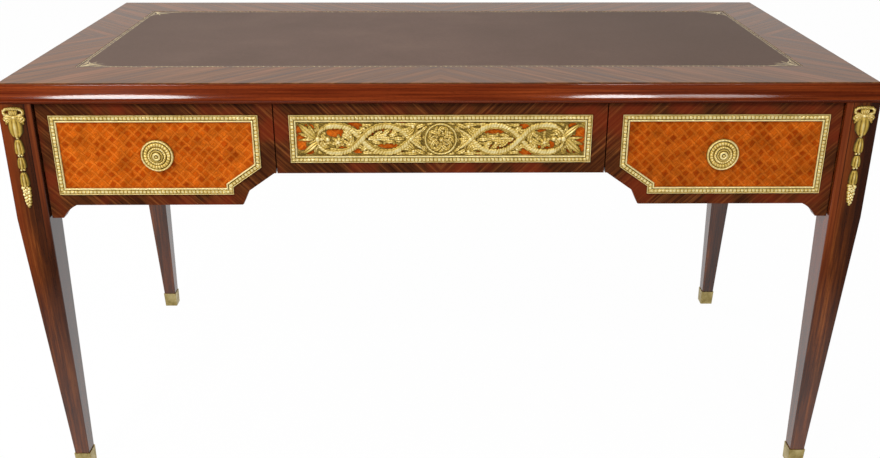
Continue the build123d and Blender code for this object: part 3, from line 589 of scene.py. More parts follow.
def turnedGrid(radii, height, columns, outline=np.ones_like, hole=0.0):
    # a button turned round its middle: point = (r cos a, r sin a, height(r, a)); the angle runs
    # clockwise, and the rim drops to the ground and closes under the middle, or at the edge of a hole
    angle = -np.linspace(0.0, 2 * np.pi, columns + 1)
    angle[-1] = 0.0
    radii = np.array(radii, float)[:, None]
    heights, shine = height(radii, angle)
    reach = radii * outline(angle)
    heights, shine = (np.pad(part + 0 * reach, ((0, 2), (0, 0))) for part in (heights, shine))
    reach = np.concatenate([reach, reach[-1:], reach[-1:] * 0 + hole])
    return np.stack([reach * np.cos(angle), reach * np.sin(angle), heights], axis=2), shine


def bead(x, y, radius, height, columns=14, stretch=1.0):
    # height = height * sqrt(1 - (r / radius)^2)
    points, shine = turnedGrid(
        np.linspace(0, 1, 6) * radius,
        lambda r, a: (height * np.sqrt(1.02 - (r / radius) ** 2), 1 - 0.6 * (r / radius) ** 2), columns)
    return points * (1, stretch, 1) + (x, y, 0), shine


def blossom(x, y, radius, height, petals=5, columns=50):
    # petals round a bossed middle: outline = 0.78 + 0.22 * |cos(petals * a / 2)|, the height domed
    # over each petal and grooved between them
    def dome(r, a):
        place = r / radius
        petal = np.abs(np.cos(petals * a / 2))
        body = np.where(place < 0.26, 1.0 + 0.15 * np.cos(place / 0.26 * 1.5),
                        (0.45 + 0.45 * petal**0.5) * np.sqrt(np.maximum(1.05 - place**2, 0)))
        return height * body, np.clip(body * 0.9, 0, 1)
    points, shine = turnedGrid(np.r_[0, 0.13, 0.24, 0.28, 0.4, 0.55, 0.7, 0.82, 0.92, 1] * radius, dome,
                               columns, lambda a: 0.78 + 0.22 * np.abs(np.cos(petals * a / 2)))
    return points + (x, y, 0), shine


frameMount = {
    # its zones from the outer edge inwards: round lip, groove, ribbed band, groove, round fillet
    "widths": [1.4, 0.6, 6.2, 0.6, 3.0],
    "foot": [2.6, 1.7, 1.5, 1.3, 2.3], "rise": [1.2, 1.0, 2.1, 1.0, 1.6],
    # shine and gleam paint shade into the grooves and a highlight on the lip and fillet, over the real
    # burnish
    "shine": [0.76, 0.3, 0.28, 0.0, 0.82], "gleam": [0.16, 1.0, 0.7, 1.0, 0.18],    # at the foot, and more
    "places": [(0, 0.14, 0.5, 0.86, 1), (0.05, 0.95), (0, 0.14, 0.5, 0.86, 1), (0.05, 0.95),
               (0, 0.14, 0.38, 0.62, 0.86, 1)],
    "nick": 6.6,     # from rib to rib of the band
    "step": 0.825,   # from row to row of the grid
}


def frameGrid(outline):
    # the section is carried round the outline, clockwise: at width w a corner stands at
    # corner + w * (n1 + n2) / (1 + n1 . n2), with n1 and n2 the inward ways of its two sides
    corners = np.array(outline, float)
    sides = np.roll(corners, -1, axis=0) - corners
    lengths = np.linalg.norm(sides, axis=1)
    way = sides / lengths[:, None]
    inward = np.stack([way[:, 1], -way[:, 0]], axis=1)
    before = np.roll(inward, 1, axis=0)
    mitre = (inward + before) / (1 + (inward * before).sum(axis=1))[:, None]
    counts = np.maximum(np.round(lengths / frameMount["step"]).astype(int), 1)
    side = np.repeat(np.arange(len(corners)), counts)
    part = (np.arange(len(side)) - np.repeat(np.cumsum(counts) - counts, counts)) / counts[side]
    edges = np.cumsum([0] + frameMount["widths"])
    widths = np.concatenate([edge + width * np.array(places) for edge, width, places in zip(
        edges, frameMount["widths"], frameMount["places"])])
    after = (side + 1) % len(corners)
    near, far = (corners[end][:, None] + mitre[end][:, None] * widths[:, None] for end in (side, after))
    flat = near + (far - near) * part[:, None, None]
    along = ((flat - corners[side][:, None]) * way[side][:, None]).sum(axis=2)
    zone = np.searchsorted(edges[1:-1], widths - 1e-6, side="left")
    local = np.clip((widths - edges[zone]) / np.diff(edges)[zone], 0, 1)
    swell = np.sin(np.pi * local)
    beat = np.abs(np.sin(np.pi * along / frameMount["nick"]))
    rib = np.clip(2.4 * beat - 0.3, 0, 1)
    body = np.choose(zone, [swell, 0 * swell, swell**0.35 * rib, 0 * swell, swell * (0.75 + 0.25 * beat)])
    foot, rise, dull, gleam = (np.array(frameMount[key])[zone] for key in ("foot", "rise", "shine", "gleam"))
    heights, shine = (np.pad(part, ((0, 0), (1, 2))) for part in (foot + rise * body, dull + gleam * body))
    flat = np.concatenate([flat[:, :1], flat, flat[:, -1:], flat[:, :1]], axis=1)
    points = np.concatenate([flat, heights[..., None]], axis=2)
    return np.concatenate([points, points[:1]]), np.concatenate([shine, shine[:1]])


sideOutline = [(310, 724), (663, 724), (663, 582), (360.7, 582), (360.7, 595.5), (310, 631.16)]
outlines = {
    "left": [(-x, y) for x, y in sideOutline[::-1]],
    "centre": [(-258, 724), (258, 724), (258, 640), (-258, 640)],
    "right": sideOutline,
}
frames = {drawer: frameGrid(outline) for drawer, outline in outlines.items()}
apronFrame = frameGrid([(-306, 724), (306, 724), (306, 582), (-306, 582)])
for drawer, grid in frames.items():
    makePiece(f"frame_{drawer}", laidOn("front", [grid]), f"drawer_{drawer}", f"drawer_{drawer}_frame")
makePiece("frames_back", laidOn("back", frames.values()), "desk", "back_frames")
makePiece("frames_sides", laidOn("left", [apronFrame]) + laidOn("right", [apronFrame]), "desk", "side_frames")
print("frames chased")


rosette = {
    "across": 486.5, "height": 653.0, "petals": 26, "columns": 240,
    # rings from the middle: inner and outer radius, height at the foot, rise, shine, share of the
    # petals, and rows of the grid
    "rings": [(0.0, 1.9, 9.6, 1.6, 0.9, 0.0, 0), (2.6, 7.6, 8.0, 2.6, 0.95, 0.0, 9),
              (8.2, 11.0, 6.6, 1.2, 0.8, 0.55, 4), (11.4, 16.0, 5.0, 2.4, 0.95, 0.6, 7),
              (16.4, 23.4, 3.6, 3.0, 0.86, 0.7, 10), (23.9, 28.0, 2.6, 2.9, 0.95, 0.25, 8)],
    "between": [0.0, 0.6, 1.2, 1.8, 2.0, 2.5, 7.7, 8.1, 11.2, 16.2, 23.6],    # rows in the knob and grooves
}


def rosetteHeight(r, a):
    # knob, ring and step in the middle, two rings of petals and a rim; each ring is
    # foot + rise * sin(pi * part)^0.6 * (1 - share + share * |cos(petals * a / 2)|^0.8)
    height = 3.0 - 0.05 * r + 4.0 * (r < 8.2) + 0 * a
    shine = 0.18 + 0 * r * a
    petal = np.abs(np.cos(rosette["petals"] * a / 2)) ** 0.8
    for inner, outer, foot, rise, gleam, share, _ in rosette["rings"]:
        part = np.clip((r - inner) / (outer - inner), 0, 1) if inner else 0.5 + 0.5 * np.clip(r / outer, 0, 1)
        swell = np.sin(np.pi * part) ** 0.6 * (1 - share + share * petal)
        inside = (r > inner) & (r < outer) | (r == 0) & (inner == 0)
        height = np.where(inside, foot + rise * swell, height)
        shine = np.where(inside, gleam * (0.25 + 0.75 * swell), shine)
    return height, np.clip(shine, 0, 1)


rosetteRadii = np.sort(np.concatenate([rosette["between"]] + [
    np.linspace(ring[0] + 0.05, ring[1] - 0.05, ring[-1]) for ring in rosette["rings"]]))
rosetteGrid = [turnedGrid(rosetteRadii, rosetteHeight, rosette["columns"])]
places = {"left": (-rosette["across"], rosette["height"]), "right": (rosette["across"], rosette["height"])}
for side, place in places.items():
    makePiece(f"rosette_{side}", laidOn("front", rosetteGrid, place), f"drawer_{side}",
              f"drawer_{side}_rosette")
makePiece("rosettes_back", sum((laidOn("back", rosetteGrid, place) for place in places.values()), []),
          "desk", "back_rosettes")
print("rosettes turned")


# the left half of the pierced mount; the same half turned round makes the right half
plaqueMount = {
    "middle": (0, 682),
    "plate": (244.8, 28.4), "sunk": 0.9, "thick": 1.6, "thin": 0.3,
    "stretch": (1.005, 1.05, 1),           # opens the whole pattern out to the frame
    "flowers": [(-175, -5), (177, -6)],
    "wreath": (24.6, 28.2), "turns": 9,    # radii of the medallion's rim, and its leaves
    "sprigs": 90, "seed": 11,              # small leaves strewn over the ground
    "sprigReach": (5.2, 0.8), "sprigBend": 1.2, "sprigLow": (-244, -26.3), "sprigHigh": (-24, 26.3),
    # a ribbon as x, y and lift; the other is its mirror image, under where this one is over
    "over": 1.9, "under": 0.3,
    "strap": (12.0, 3.9, 150, 4.8, 0.35, 0.24),    # width, thickness, rows, notch, width of the ends, scallop
    "ribbon": [(-210, 1, 1.5), (-206, 12, 1), (-195, 20, 1), (-173, 22.5, 1), (-155, 18, 0.6),
               (-145, 10, 0.3), (-135, 0, 0.3), (-125, -10, 0.3), (-112, -18.5, 1), (-93, -22.5, 1),
               (-75, -19, 1), (-61, -9.5, 1.9), (-51, 1, 1.9), (-42, 9, 1.9), (-33, 15, 1)],
    "stem": [(-123, 0, 0.4), (-108, -1, 0.6), (-92, 1, 0.6), (-76, 0, 0.6), (-63, 0, 0.4)],
    # beads as x, y, radius and height
    "beads": [
        (-209, 0, 5.6, 6.2), (-202.5, 0, 3.6, 5.2), (-192, 0, 4.4, 6), (-51, 0, 4.2, 6.4),
        (-47, 21, 3.2, 4.4), (-47, -21, 3.2, 4.4), (-56, 14, 2.4, 4.6), (-56, -14, 2.4, 4.6),
        (-107, 3, 2.6, 4.6), (-94, 7, 3, 4.8), (-81, 8, 2.7, 4.6), (-72, 0, 2.4, 4.2), (-89, 0, 2.5, 4.4),
        (-101, 12, 2.3, 4.2), (-197, -8, 2.6, 4.4), (-153, 4, 2.8, 4.6), (-156, -9, 2.4, 4.2),
        (-160, 12, 2.4, 4.6), (-130, 18, 2.4, 4.2), (-130, -18, 2.4, 4.2)],
}
# openings through which the panel shows: middle x and y, half width, half height
plaqueOpenings = np.array([
    (-178, 11, 16, 8), (-238, -6, 9, 13), (-224, -19, 9, 7), (-224, 19, 9, 6), (-241, 15, 5, 8),
    (-226, 1, 8, 6), (-147, 24, 11, 4), (-141, -20, 9, 5), (-137, 20, 7, 5), (-119, 4, 7, 7),
    (-90, -12, 18, 4), (-97, 14, 18, 4), (-66, 25, 8, 4), (-72, -24, 9, 4), (-168, -16, 12, 5),
    (-36, 1, 5, 4)])
# leaves: start, bend and tip, each as x, y and lift, then width, height and lobes
plaqueLeaves = [
    # three fronds at the end: a feathered one above, a plain one below, a slight one between
    (-212, 1, 0.6, -224, 11, 1.6, -241, 26, 0.3, 15, 3.6, 7),
    (-212, 3, 0, -219, 15, 0.8, -226, 26.5, 0, 9, 2.8, 5),
    (-214, 1, 0, -229, 6, 0.6, -243, 10, 0, 8, 2.6, 5), (-214, 0, 0, -229, -1, 0.4, -243, -2, 0, 6, 2.4, 4),
    (-206, -2, 1.2, -221, -14, 2, -238, -26.5, 0.3, 10.5, 3.8, 1),
    (-214, -6, 0, -228, -20, 0.6, -242, -23, 0, 6.5, 2.4, 4),
    (-209, -8, 0.4, -214, -20, 0.8, -213, -26.5, 0, 7.5, 2.6, 4),
    (-206, 10, 0.4, -208, 20, 0.8, -205, 26.5, 0, 7, 2.6, 4),
    # curls inside the roundel
    (-203, 9, 0, -197, 1, 0.5, -187, -4, 0, 11, 3.2, 4),
    (-203, -2, 0, -198, -11, 0.4, -188, -14, 0, 10, 3, 4),
    (-165, 16, 0, -156, 9, 0.8, -150, 0, 0, 12, 3.2, 5), (-168, 8, 0, -160, 4, 0.8, -152, -3, 0, 10, 3, 4),
    (-150, 6, 0, -152, -6, 0.6, -164, -13, 0, 11, 3.2, 5),
    (-166, -3, 0, -159, -7, 0.4, -158, -14, 0, 8, 2.6, 3),
    (-192, 17, 0, -180, 20.5, 0.4, -166, 18.5, 0, 5, 2, 4),
    (-190, -16, 0, -178, -18.5, 0.4, -164, -17, 0, 7, 2.4, 4),
    (-154, 17, 0, -146, 15, 0.5, -143, 6, 0, 8, 2.8, 3),
    (-154, -17, 0, -147, -15, 0.5, -142, -7, 0, 8, 2.8, 3),
    # spray inside the oval
    (-124, 0, 0, -114, 2, 0.6, -103, 0, 0, 10, 3, 5), (-117, -2, 0, -109, -6, 0.4, -99, -7, 0, 8, 2.7, 4),
    (-114, 3, 0, -107, 9, 0.8, -99, 14, 0, 9.5, 3, 4), (-108, 4, 0, -98, 6, 1, -89, 11, 0, 10, 3.2, 5),
    (-103, 0, 0, -93, 1, 1, -83, 3, 0, 10.5, 3.2, 5), (-98, 8, 0, -91, 13, 0.8, -84, 16, 0, 9.5, 3, 4),
    (-95, -3, 0, -86, -4, 0.8, -77, -3, 0, 9, 3, 4), (-88, 5, 0, -79, 8, 0.9, -70, 9, 0, 10, 3.1, 5),
    (-84, 11, 0, -77, 13, 0.6, -70, 13, 0, 7.5, 2.7, 3), (-80, 0, 0, -71, 1, 0.8, -61, -1, 0, 9, 3, 4),
    (-49, 0, 0.6, -41, 0.6, 1, -29, 0, 0, 11, 3.6, 5)
]
# scrolls between the ribbons and the long edges, the same above and below
plaqueScrolls = [
    (-146, 13, 0, -136, 13, 0.6, -130, 23, 0, 10, 3, 4),
    (-134, 24, 0, -124, 23, 0.5, -113, 26, 0, 7, 2.4, 4),
    (-122, 12, 0, -130, 15, 0.5, -138, 21, 0, 9, 2.8, 4),
    (-136, 8, 0.4, -128, 6, 0.8, -121, 11, 0, 6, 2.4, 3),
    (-78, 26, 0, -66, 24.5, 0.5, -54, 26, 0, 5.5, 2.2, 4),
    (-62, 23.5, 0, -50, 24.5, 0.8, -36, 25, 0, 8, 2.8, 5), (-68, 15, 0, -58, 15, 1, -48, 22, 0, 11, 3.3, 5),
    (-60, 7, 0, -51, 11, 1, -44, 20, 0, 10.5, 3.2, 5), (-47, 4, 0, -38, 7, 1, -33, 17, 0, 10.5, 3.3, 5),
    (-42, 18, 0, -35, 22, 0.8, -25, 24.5, 0, 9, 3, 4), (-34, 11, 0, -29, 17, 0.6, -22, 22, 0, 7, 2.6, 3),
    (-24, 24, 0, -17, 25.8, 0.3, -9, 26.5, 0, 4.5, 2, 3)
]


def plaqueGround():
    # pierced plate: height = thick + 0.35 * sin(1.3 x + 0.4 y) * sin(1.1 y - 0.5 x) - sunk, and it
    # runs in under the panel where ((x - openX) / halfWidth)^2 + ((y - openY) / halfHeight)^2 < 0.9
    length, half = plaqueMount["plate"]
    x = np.linspace(-length, 0, 150)[:, None]
    across = np.linspace(-1, 1, 37)
    y = -half * across
    inside = (((x[..., None] - plaqueOpenings[:, 0]) / plaqueOpenings[:, 2]) ** 2
              + ((y[:, None] - plaqueOpenings[:, 1]) / plaqueOpenings[:, 3]) ** 2)
    solid = np.clip((inside.min(axis=2) - 0.9) / 0.25, 0, 1)
    chased = np.sin(1.3 * x + 0.4 * y) * np.sin(1.1 * y - 0.5 * x)
    heights = plaqueMount["thin"] + solid * (plaqueMount["thick"] - plaqueMount["thin"] + 0.35 * chased)
    points, shine = raisedAlong(np.pad(x, ((0, 0), (0, 2))), np.full(len(x), half), across, heights,
                                solid * (0.3 + 0.2 * chased))
    return points - (0, 0, plaqueMount["sunk"]), shine


def sprigs():
    # small leaves strewn over the ground by chance, outside the openings: a spot is kept where
    # ((x - openX) / halfWidth)^2 + ((y - openY) / halfHeight)^2 > 1.25 for every opening
    chance = np.random.default_rng(plaqueMount["seed"])
    spots = chance.uniform((-243, -25), (-26, 25), (6 * plaqueMount["sprigs"], 2))
    away = ((spots[:, None] - plaqueOpenings[:, :2]) / plaqueOpenings[:, 2:]) ** 2
    spots = spots[(away.sum(axis=2) > 1.25).all(axis=1)][:plaqueMount["sprigs"]]
    turns = chance.uniform(0, 2 * np.pi, len(spots))
    length, flat = plaqueMount["sprigReach"]
    reach = length * np.stack([np.cos(turns), flat * np.sin(turns)], axis=1)
    bends = spots + plaqueMount["sprigBend"] * np.stack([-np.sin(turns), np.cos(turns)], axis=1)
    starts, tips = (np.clip(place, plaqueMount["sprigLow"], plaqueMount["sprigHigh"])
                    for place in (spots - reach, spots + reach))
    return [leaf(controls, 5.6, 1.9, 2, 0.3, 8) for controls in zip(starts, bends, tips)]


def waysAt(degrees):    # the way at an angle, and the way to its left
    angle = np.radians(degrees)
    return np.array([np.cos(angle), np.sin(angle)]), np.array([-np.sin(angle), np.cos(angle)])


def flowerSpray(x, y):
    # five-petalled flower with leaves that curl round it
    grids = [blossom(x, y, 9.4, 5.6)]
    for degrees in (20, 75, 130, 185, 240, 310):
        way, side = waysAt(degrees)
        start, end = (x, y) + 5 * way, (x, y) + 13.5 * way + 2 * side
        grids.append(leaf([start, (start + end) / 2 + 1.5 * side, end], 6.5, 2.2, 3, rows=18))
    return grids


def medallion():
    # twisted wreath round leaves that curl from a boss, over a ground disc; the wreath's height is
    # 1.6 + 2.2 * sqrt(1 - ((r - 26.4) / 1.8)^2) * (0.6 + 0.4 * |sin(14 a + 0.8 (r - 26.5))|)
    def twisted(r, a):
        twist = np.abs(np.sin(14 * a + 0.8 * (r - 26.5)))
        body = np.sqrt(np.clip(1 - ((r - 26.4) / 1.8) ** 2, 0, 1)) * (0.6 + 0.4 * twist)
        return 1.6 + 2.2 * body, 0.15 + 0.75 * body
    inner, outer = plaqueMount["wreath"]
    points, shine = turnedGrid(np.r_[inner, np.linspace(inner, outer, 9)], twisted, 140, hole=inner)
    points[0, :, 2] = 0    # the inner edge starts on the ground
    shine[0] = 0
    ground = turnedGrid([0, 8, 16, 25.0], lambda r, a: (1.2, 0.42), 48)
    grids = [(points, shine), ground, blossom(1, -1, 5.4, 6.2, 6, 42)]
    for turn in range(plaqueMount["turns"]):
        way, side = waysAt(40 * turn + 14)
        bend = 1 if turn % 2 else -1
        grids += [
            leaf([9 * way - 3 * bend * side, 17.5 * way, 24 * way + 7 * bend * side], 9.5, 3, 4, 1.4, 20),
            leaf([5 * way, 10 * way + 2.5 * side, 15 * way - 1.5 * side], 6.5, 4.2, 3, 1.4, 16),
            leaf([14 * way + 7 * side, 19 * way + 7 * side, 24 * way + 2 * side], 6, 3.4, 2, 1.4, 14),
            bead(*(12.5 * way + 6 * side), 1.9, 4.6, 10)]
    return grids


def plaqueGrids():    # the left half, the same turned round to (-x, -y), the flowers and the medallion
    over, under = plaqueMount["over"], plaqueMount["under"]
    mirrored = [(x, -y, over + under - lift if lift in (over, under) else lift)
                for x, y, lift in plaqueMount["ribbon"]]
    grids = [plaqueGround()]
    grids += [ribbon(path, *plaqueMount["strap"]) for path in (plaqueMount["ribbon"], mirrored)]
    for rows, flip in ((plaqueLeaves, 1), (plaqueScrolls, 1), (plaqueScrolls, -1)):
        grids += [leaf(np.reshape(row[:9], (3, 3)) * (1, flip, 1), *row[9:]) for row in rows]
    grids += [bead(*row, 12) for row in plaqueMount["beads"]]
    grids += [stem(plaqueMount["stem"], 4.5, 2.6)] + sprigs()
    half = [(points * plaqueMount["stretch"], shine) for points, shine in grids]
    turnedHalf = [(points * (-1, -1, 1), shine) for points, shine in half]
    flowers = [grid for place in plaqueMount["flowers"] for grid in flowerSpray(*place)]
    return half + turnedHalf + flowers + medallion()


plaque = plaqueGrids()
for face, body, node in (("front", "drawer_centre", "drawer_centre_plaque"), ("back", "desk", "back_plaque")):
    makePiece(f"plaque_{face}", laidOn(face, plaque, plaqueMount["middle"]), body, node)
print("plaques pierced")


# heights are measured down from the top of the bow
chuteMount = {
    "place": (717.0, 741),
    # right half of the ribbon bow, an arch over an eye and a strap under it: path, width, thickness,
    # rows, notch, width of the ends and scallop
    "straps": [([(0, -2.6, 1.6), (6, -3, 1.6), (12.5, -4.4, 1.2), (16.2, -8.4, 0.8), (14.2, -13, 0.6),
                 (8, -14.2, 0.4)], 5.4, 3.8, 50, 3, 1.0, 0.26),
               ([(-1, -14.6, 0.6), (8, -14.8, 1.0), (15, -13.4, 0.4)], 5.0, 2.8, 26, 3, 0.6, 0.2)],
    # its leaves, a plain one and the leafy ends that curl out: path, width, height and lobes
    "bowLeaves": [([(1, -15.5, 0.8), (4.4, -9, 1.4), (6, -3, 0.6)], 7.0, 3.4, 1),
                  ([(1, -17.5, 1), (9, -17, 1.6), (17.4, -18, 0.4)], 6.5, 3.4, 3),
                  ([(9, -17, 1), (14.5, -18, 1.2), (18.8, -22, 0.3)], 6.0, 3.4, 3),
                  ([(4, -20, 0.6), (11, -21, 1.2), (17, -25.5, 0.3)], 6.5, 3.4, 3),
                  ([(6, -22, 0.4), (12, -25, 0.9), (15, -31, 0.2)], 6.0, 3.4, 3)],
    # the bell under the bow: top, foot, width, height, lobes and shape, outside and inside
    "bell": [(-18.5, -50.5, 25.0, 6.0, 3, bellShape), (-21, -52.0, 11.5, 6.5, 1, bellShape)],
    "husks": [(-56.5, -81.5, 17.5), (-88.0, -107.5, 16.5), (-115.0, -139.5, 17.0)],    # top, foot, width
    # berries of the pendant: height, distance to each side, radius
    "berries": [(-144.6, 4.9, 3.6), (-150.7, 3.4, 3.7), (-157, 4.2, 3.2), (-163, 3.0, 3.3),
                (-168.5, 3.2, 2.8), (-173.5, 2.2, 2.5)],
}


def chuteGrids():    # both halves of the bow, at x and at -x, and then from the bell down to the tip
    grids = []
    for flip in (-1, 1):
        grids += [ribbon(np.array(path) * (flip, 1, 1), *sizes) for path, *sizes in chuteMount["straps"]]
        grids += [leaf(np.array(path) * (flip, 1, 1), *sizes) for path, *sizes in chuteMount["bowLeaves"]]
        grids += [bead(12.6 * flip, -19.6, 2.2, 5.2), bead(16.2 * flip, -22.4, 1.8, 3.8, 12)]
    grids.append(leaf([(0, -16, 1.2), (0, -9, 2.0), (0, -2.4, 0.8)], 7.5, 3.4, 1))
    grids.append(bead(0, -17.6, 4.4, 5.4, 20, 0.8))
    grids += [husk(*sizes) for sizes in chuteMount["bell"]]
    grids.append(bead(0, -54.0, 2.8, 4.2, stretch=0.8))
    for top, foot, width in chuteMount["husks"]:    # husks with knobs between them
        grids += [husk(top, foot, width, 5.4), husk(top, foot - 1.2, 0.42 * width, 6.2, 1),
                  bead(-2.4, foot - 3.6, 2.4, 4.0), bead(2.4, foot - 3.2, 2.4, 4.0)]
    for y, spread, radius in chuteMount["berries"]:    # pendant: berries by threes, down to a tip
        grids += [bead(-spread, y + 0.9, radius, 4.6, stretch=1.1),
                  bead(spread, y - 0.9, radius, 4.6, stretch=1.1),
                  bead(0, y - 2.6, 0.8 * radius, 5.2, stretch=1.1)]
    grids.append(leaf([(0, -172, 0.5), (0, -177, 0.6), (0, -181, 0)], 6.5, 3.2, 2))
    return grids


chute = chuteGrids()
across, height = chuteMount["place"]
for place, sign in (("front_left", -1), ("front_right", 1), ("back_left", 1), ("back_right", -1)):
    face = place.split("_")[0] + "Leg"
    makePiece(f"mount_{place}", laidOn(face, chute, (sign * across, height)), "desk", f"chute_{place}")
print("husk chutes hung")


tooling = {    # gold leaf, pressed on the leather with hot brass tools
    "half": (646.0, 269.0), "lineWidth": 1.2, "inset": 0.6, "second": 6.2, "motifGap": 9.0, "thick": 0.06,
    "deep": 0.3, "sunk": 0.35, "motif": (1.5, 0.75), "cornerGap": 62,
    # leafy corner, fronds that run along both edges and one to the middle: path and width
    "fronds": [([(4, 4), (15, 12), (32, 18), (48, 11)], 3.6), ([(4, 4), (12, 15), (17, 30), (10, 44)], 3.6),
               ([(5, 5), (17, 17), (30, 30)], 4.0), ([(24, 9), (42, 10), (66, 7)], 2.6),
               ([(9, 22), (10, 36), (7, 56)], 2.6), ([(20, 13), (30, 24), (44, 27)], 3.0),
               ([(13, 20), (22, 32), (26, 44)], 3.0)],
}


def toolingGrids():
    # each line is a band round the leather; its corners stand at (halfX - w, halfY - w)
    grids = []
    halfX, halfY = tooling["half"]
    lift, deep = tooling["thick"], tooling["deep"]
    for inset in (tooling["inset"], tooling["second"]):
        widths = np.array([0, 0, 1, 1, 0]) * tooling["lineWidth"] + inset
        heights = np.array([-deep, lift, lift, -deep, -deep])
        corners = np.array([(-1, 1), (1, 1), (1, -1), (-1, -1), (-1, 1)])
        flat = corners[:, None] * np.stack([halfX - widths, halfY - widths], axis=1)
        points = np.concatenate([flat, np.broadcast_to(heights, (5, 5))[..., None]], axis=2)
        grids.append((points, np.ones((5, 5))))
    # small trefoil of nine points between the lines: reach = mean + swing * cos(3 * turn)
    turn = -np.linspace(0, 2 * np.pi, 10)
    mean, swing = tooling["motif"]
    reach = mean + swing * np.cos(3 * turn)
    motif = np.stack([reach * np.sin(turn), reach * np.cos(turn)], axis=1)
    middle = (tooling["inset"] + tooling["second"] + tooling["lineWidth"]) / 2
    places = []
    for long, short, flip in ((halfX, halfY, 1), (halfY, halfX, -1)):
        run = np.arange(tooling["cornerGap"] - long, long - tooling["cornerGap"] + 1, tooling["motifGap"])
        places += [np.stack([run, np.full_like(run, sign * (short - middle))], axis=1)[:, ::flip]
                   for sign in (-1, 1)]
    under = (0, 0, tooling["sunk"])
    for x, y in np.concatenate(places):
        rim = np.pad(motif + (x, y), ((0, 0), (0, 1)), constant_values=lift)
        centre = np.broadcast_to((x, y, lift), rim.shape)
        grids.append((np.stack([centre, rim, rim - under, centre - under]), np.ones((4, 10))))
    corner = []
    for path, width in tooling["fronds"]:
        points, shine = leaf(np.subtract(path, tooling["half"]), width, 0.01, 5, 0.02, 18)
        corner.append((points, np.ones_like(shine)))    # all of it catches the light
    for turnX, turnY in ((1, 1), (-1, 1), (1, -1), (-1, -1)):
        grids += [((points * (turnX, turnY, 1))[:, ::turnX * turnY], shine) for points, shine in corner]
    return grids


makePiece("leather_tooling", laidOn("top", toolingGrids()), "desk", material=rubbedMetal("rubbed_gold_leaf"))
print("leather tooled")


# the floor is white to the camera and keeps the object's shadow; in the polish it is a sheet of
# white paper round the desk, with the dimmer studio floor beyond it
floorLook = {
    "colour": "#fbfaf9", "size": 12.0, "cameraGlow": 0.98, "middle": (0.0, 0.25, 0.0),
    "paper": (1.08, 1.75, 1.0, 0.1),    # near and far edge, and the glow inside and outside
}
material, add, place = startMaterial("floor")
rays = add("LightPath").node.outputs
behind = add("Math MAXIMUM", rays["Is Glossy Ray"], rays["Is Transmission Ray"])
seen = add("Math MULTIPLY", rays["Is Camera Ray"], floorLook["cameraGlow"])
away = add("VectorMath DISTANCE", place, floorLook["middle"], output="Value")
sheet = add("MapRange", away, *floorLook["paper"])
glow = add("Emission", "#ffffff", add("Mix", {0: behind, 2: 1.0, 3: sheet}))
shader = material.node_tree.nodes["Principled BSDF"]
shader.inputs["Base Color"].default_value = linear(floorLook["colour"])
shader.inputs["Roughness"].default_value = 0.9
mix = add("MixShader", add("Math MAXIMUM", seen, behind), shader.outputs[0], glow)
material.node_tree.links.new(mix, material.node_tree.nodes["Material Output"].inputs[0])
half = floorLook["size"] / 2
mesh = bpy.data.meshes.new("floor")
mesh.from_pydata([(-half, -half, 0), (half, -half, 0), (half, half, 0), (-half, half, 0)], [], [(0, 1, 2, 3)])
mesh.materials.append(material)
addObject("floor", mesh)


def stand(name, data, right, up, back, place):
    # puts a lamp or the camera at its place; its ways are the columns of its matrix
    turned = np.eye(4)
    turned[:3] = np.stack([right, up, back, place], axis=1)
    piece = addObject(name, data)
    piece.matrix_world = Matrix(turned.tolist())
    return piece


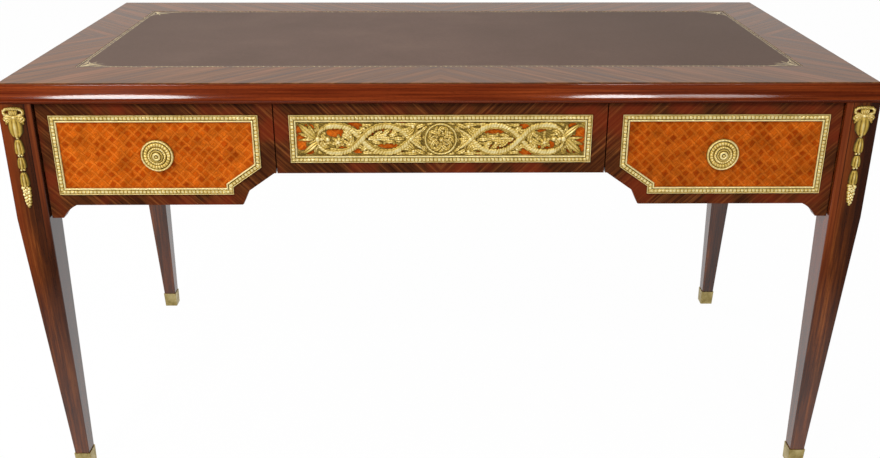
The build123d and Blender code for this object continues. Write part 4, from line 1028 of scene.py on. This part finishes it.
softLamps = {    # place, target, size and power
    "lampFrontLeft": ((-1.3, -2.2, 2.42), (-0.5, 0, 0.6), (0.56, 0.56), 32.0),
    "lampFrontRight": ((0.73, -2.2, 2.46), (0.5, 0, 0.6), (0.34, 0.48), 17.0),
    "lampFrontRightLow": ((1.1, -2.2, 2.32), (0.5, 0, 0.6), (0.5, 0.26), 5.0),
    "lampRight": ((3.0, -0.6, 2.2), (0, 0, 0.5), (1.4, 1.4), 1.5),
    "lampLeft": ((-2.8, -0.4, 2.3), (0, 0, 0.5), (1.4, 1.4), 14.5),
    "lampLeftNear": ((-1.9, -1.3, 1.9), (-0.3, -0.4, 0.5), (0.7, 0.7), 10.0),
    "lampBack": ((-1.6, 2.2, 4.2), (0, 0, 0.5), (2.0, 1.2), 54.0),
}
for name, (place, target, size, power) in softLamps.items():
    lamp = bpy.data.lights.new(name, "AREA")
    lamp.shape = "ELLIPSE"
    lamp.size, lamp.size_y = size
    lamp.energy = power
    aim = np.subtract(target, place)
    aim /= np.linalg.norm(aim)
    side = np.cross(aim, (0, 0, 1.0))
    side /= np.linalg.norm(side)
    stand(name, lamp, side, np.cross(side, aim), -aim, place)

# the world is white to the camera; the polish shows it white behind the desk and dim on the side
# of the lamps, and it lights the object evenly
skyLook = {"ambient": 0.4, "white": 1.0, "lampSide": 0.04, "ceiling": 0.9}
world = bpy.data.worlds.new("studio")
bpy.context.scene.world = world
world.use_nodes = True
sky = world.node_tree
add = partial(addNode, sky)
rays = add("LightPath").node.outputs
mirrored = add("Math MAXIMUM", rays["Is Glossy Ray"], rays["Is Transmission Ray"])
y, z = add("SeparateXYZ", add("TexCoord", output="Generated")).node.outputs[1:]
room = add("MapRange", y, -0.1, 0.4, skyLook["lampSide"], skyLook["white"])
ceiling = add("MapRange", z, 0.86, 0.96, 0.0, skyLook["ceiling"])
room = add("Math MAXIMUM", room, ceiling)
strength = add("Mix", {0: mirrored, 2: skyLook["ambient"], 3: room})
strength = add("Mix", {0: rays["Is Camera Ray"], 2: strength, 3: skyLook["white"]})
sky.links.new(strength, sky.nodes["Background"].inputs[1])
sky.nodes["Background"].inputs[0].default_value = linear("#ffffff")

view = {
    "focalPixels": 1002.90, "width": 880, "height": 458, "centre": (446.717, 246.802),
    "place": (-0.0086, -2.0284, 1.1956),
    "right": (0.99993953, -0.01091017, 0.0013821),
    "up": (0.00307797, 0.39829941, 0.9172503),
    "forward": (0.01055785, 0.91719058, -0.3983089),
}
camera = bpy.data.cameras.new("camera")
camera.sensor_width = 36.0
camera.lens = view["focalPixels"] / view["width"] * camera.sensor_width
camera.shift_x = (view["width"] / 2 - view["centre"][0]) / view["width"]
camera.shift_y = (view["centre"][1] - view["height"] / 2) / view["width"]
camera.clip_start = 0.05
bpy.context.scene.camera = stand("camera", camera, view["right"], view["up"], np.negative(view["forward"]),
                                 view["place"])
bpy.context.scene.view_settings.view_transform = "Standard"
print("stage, lamps and camera set")
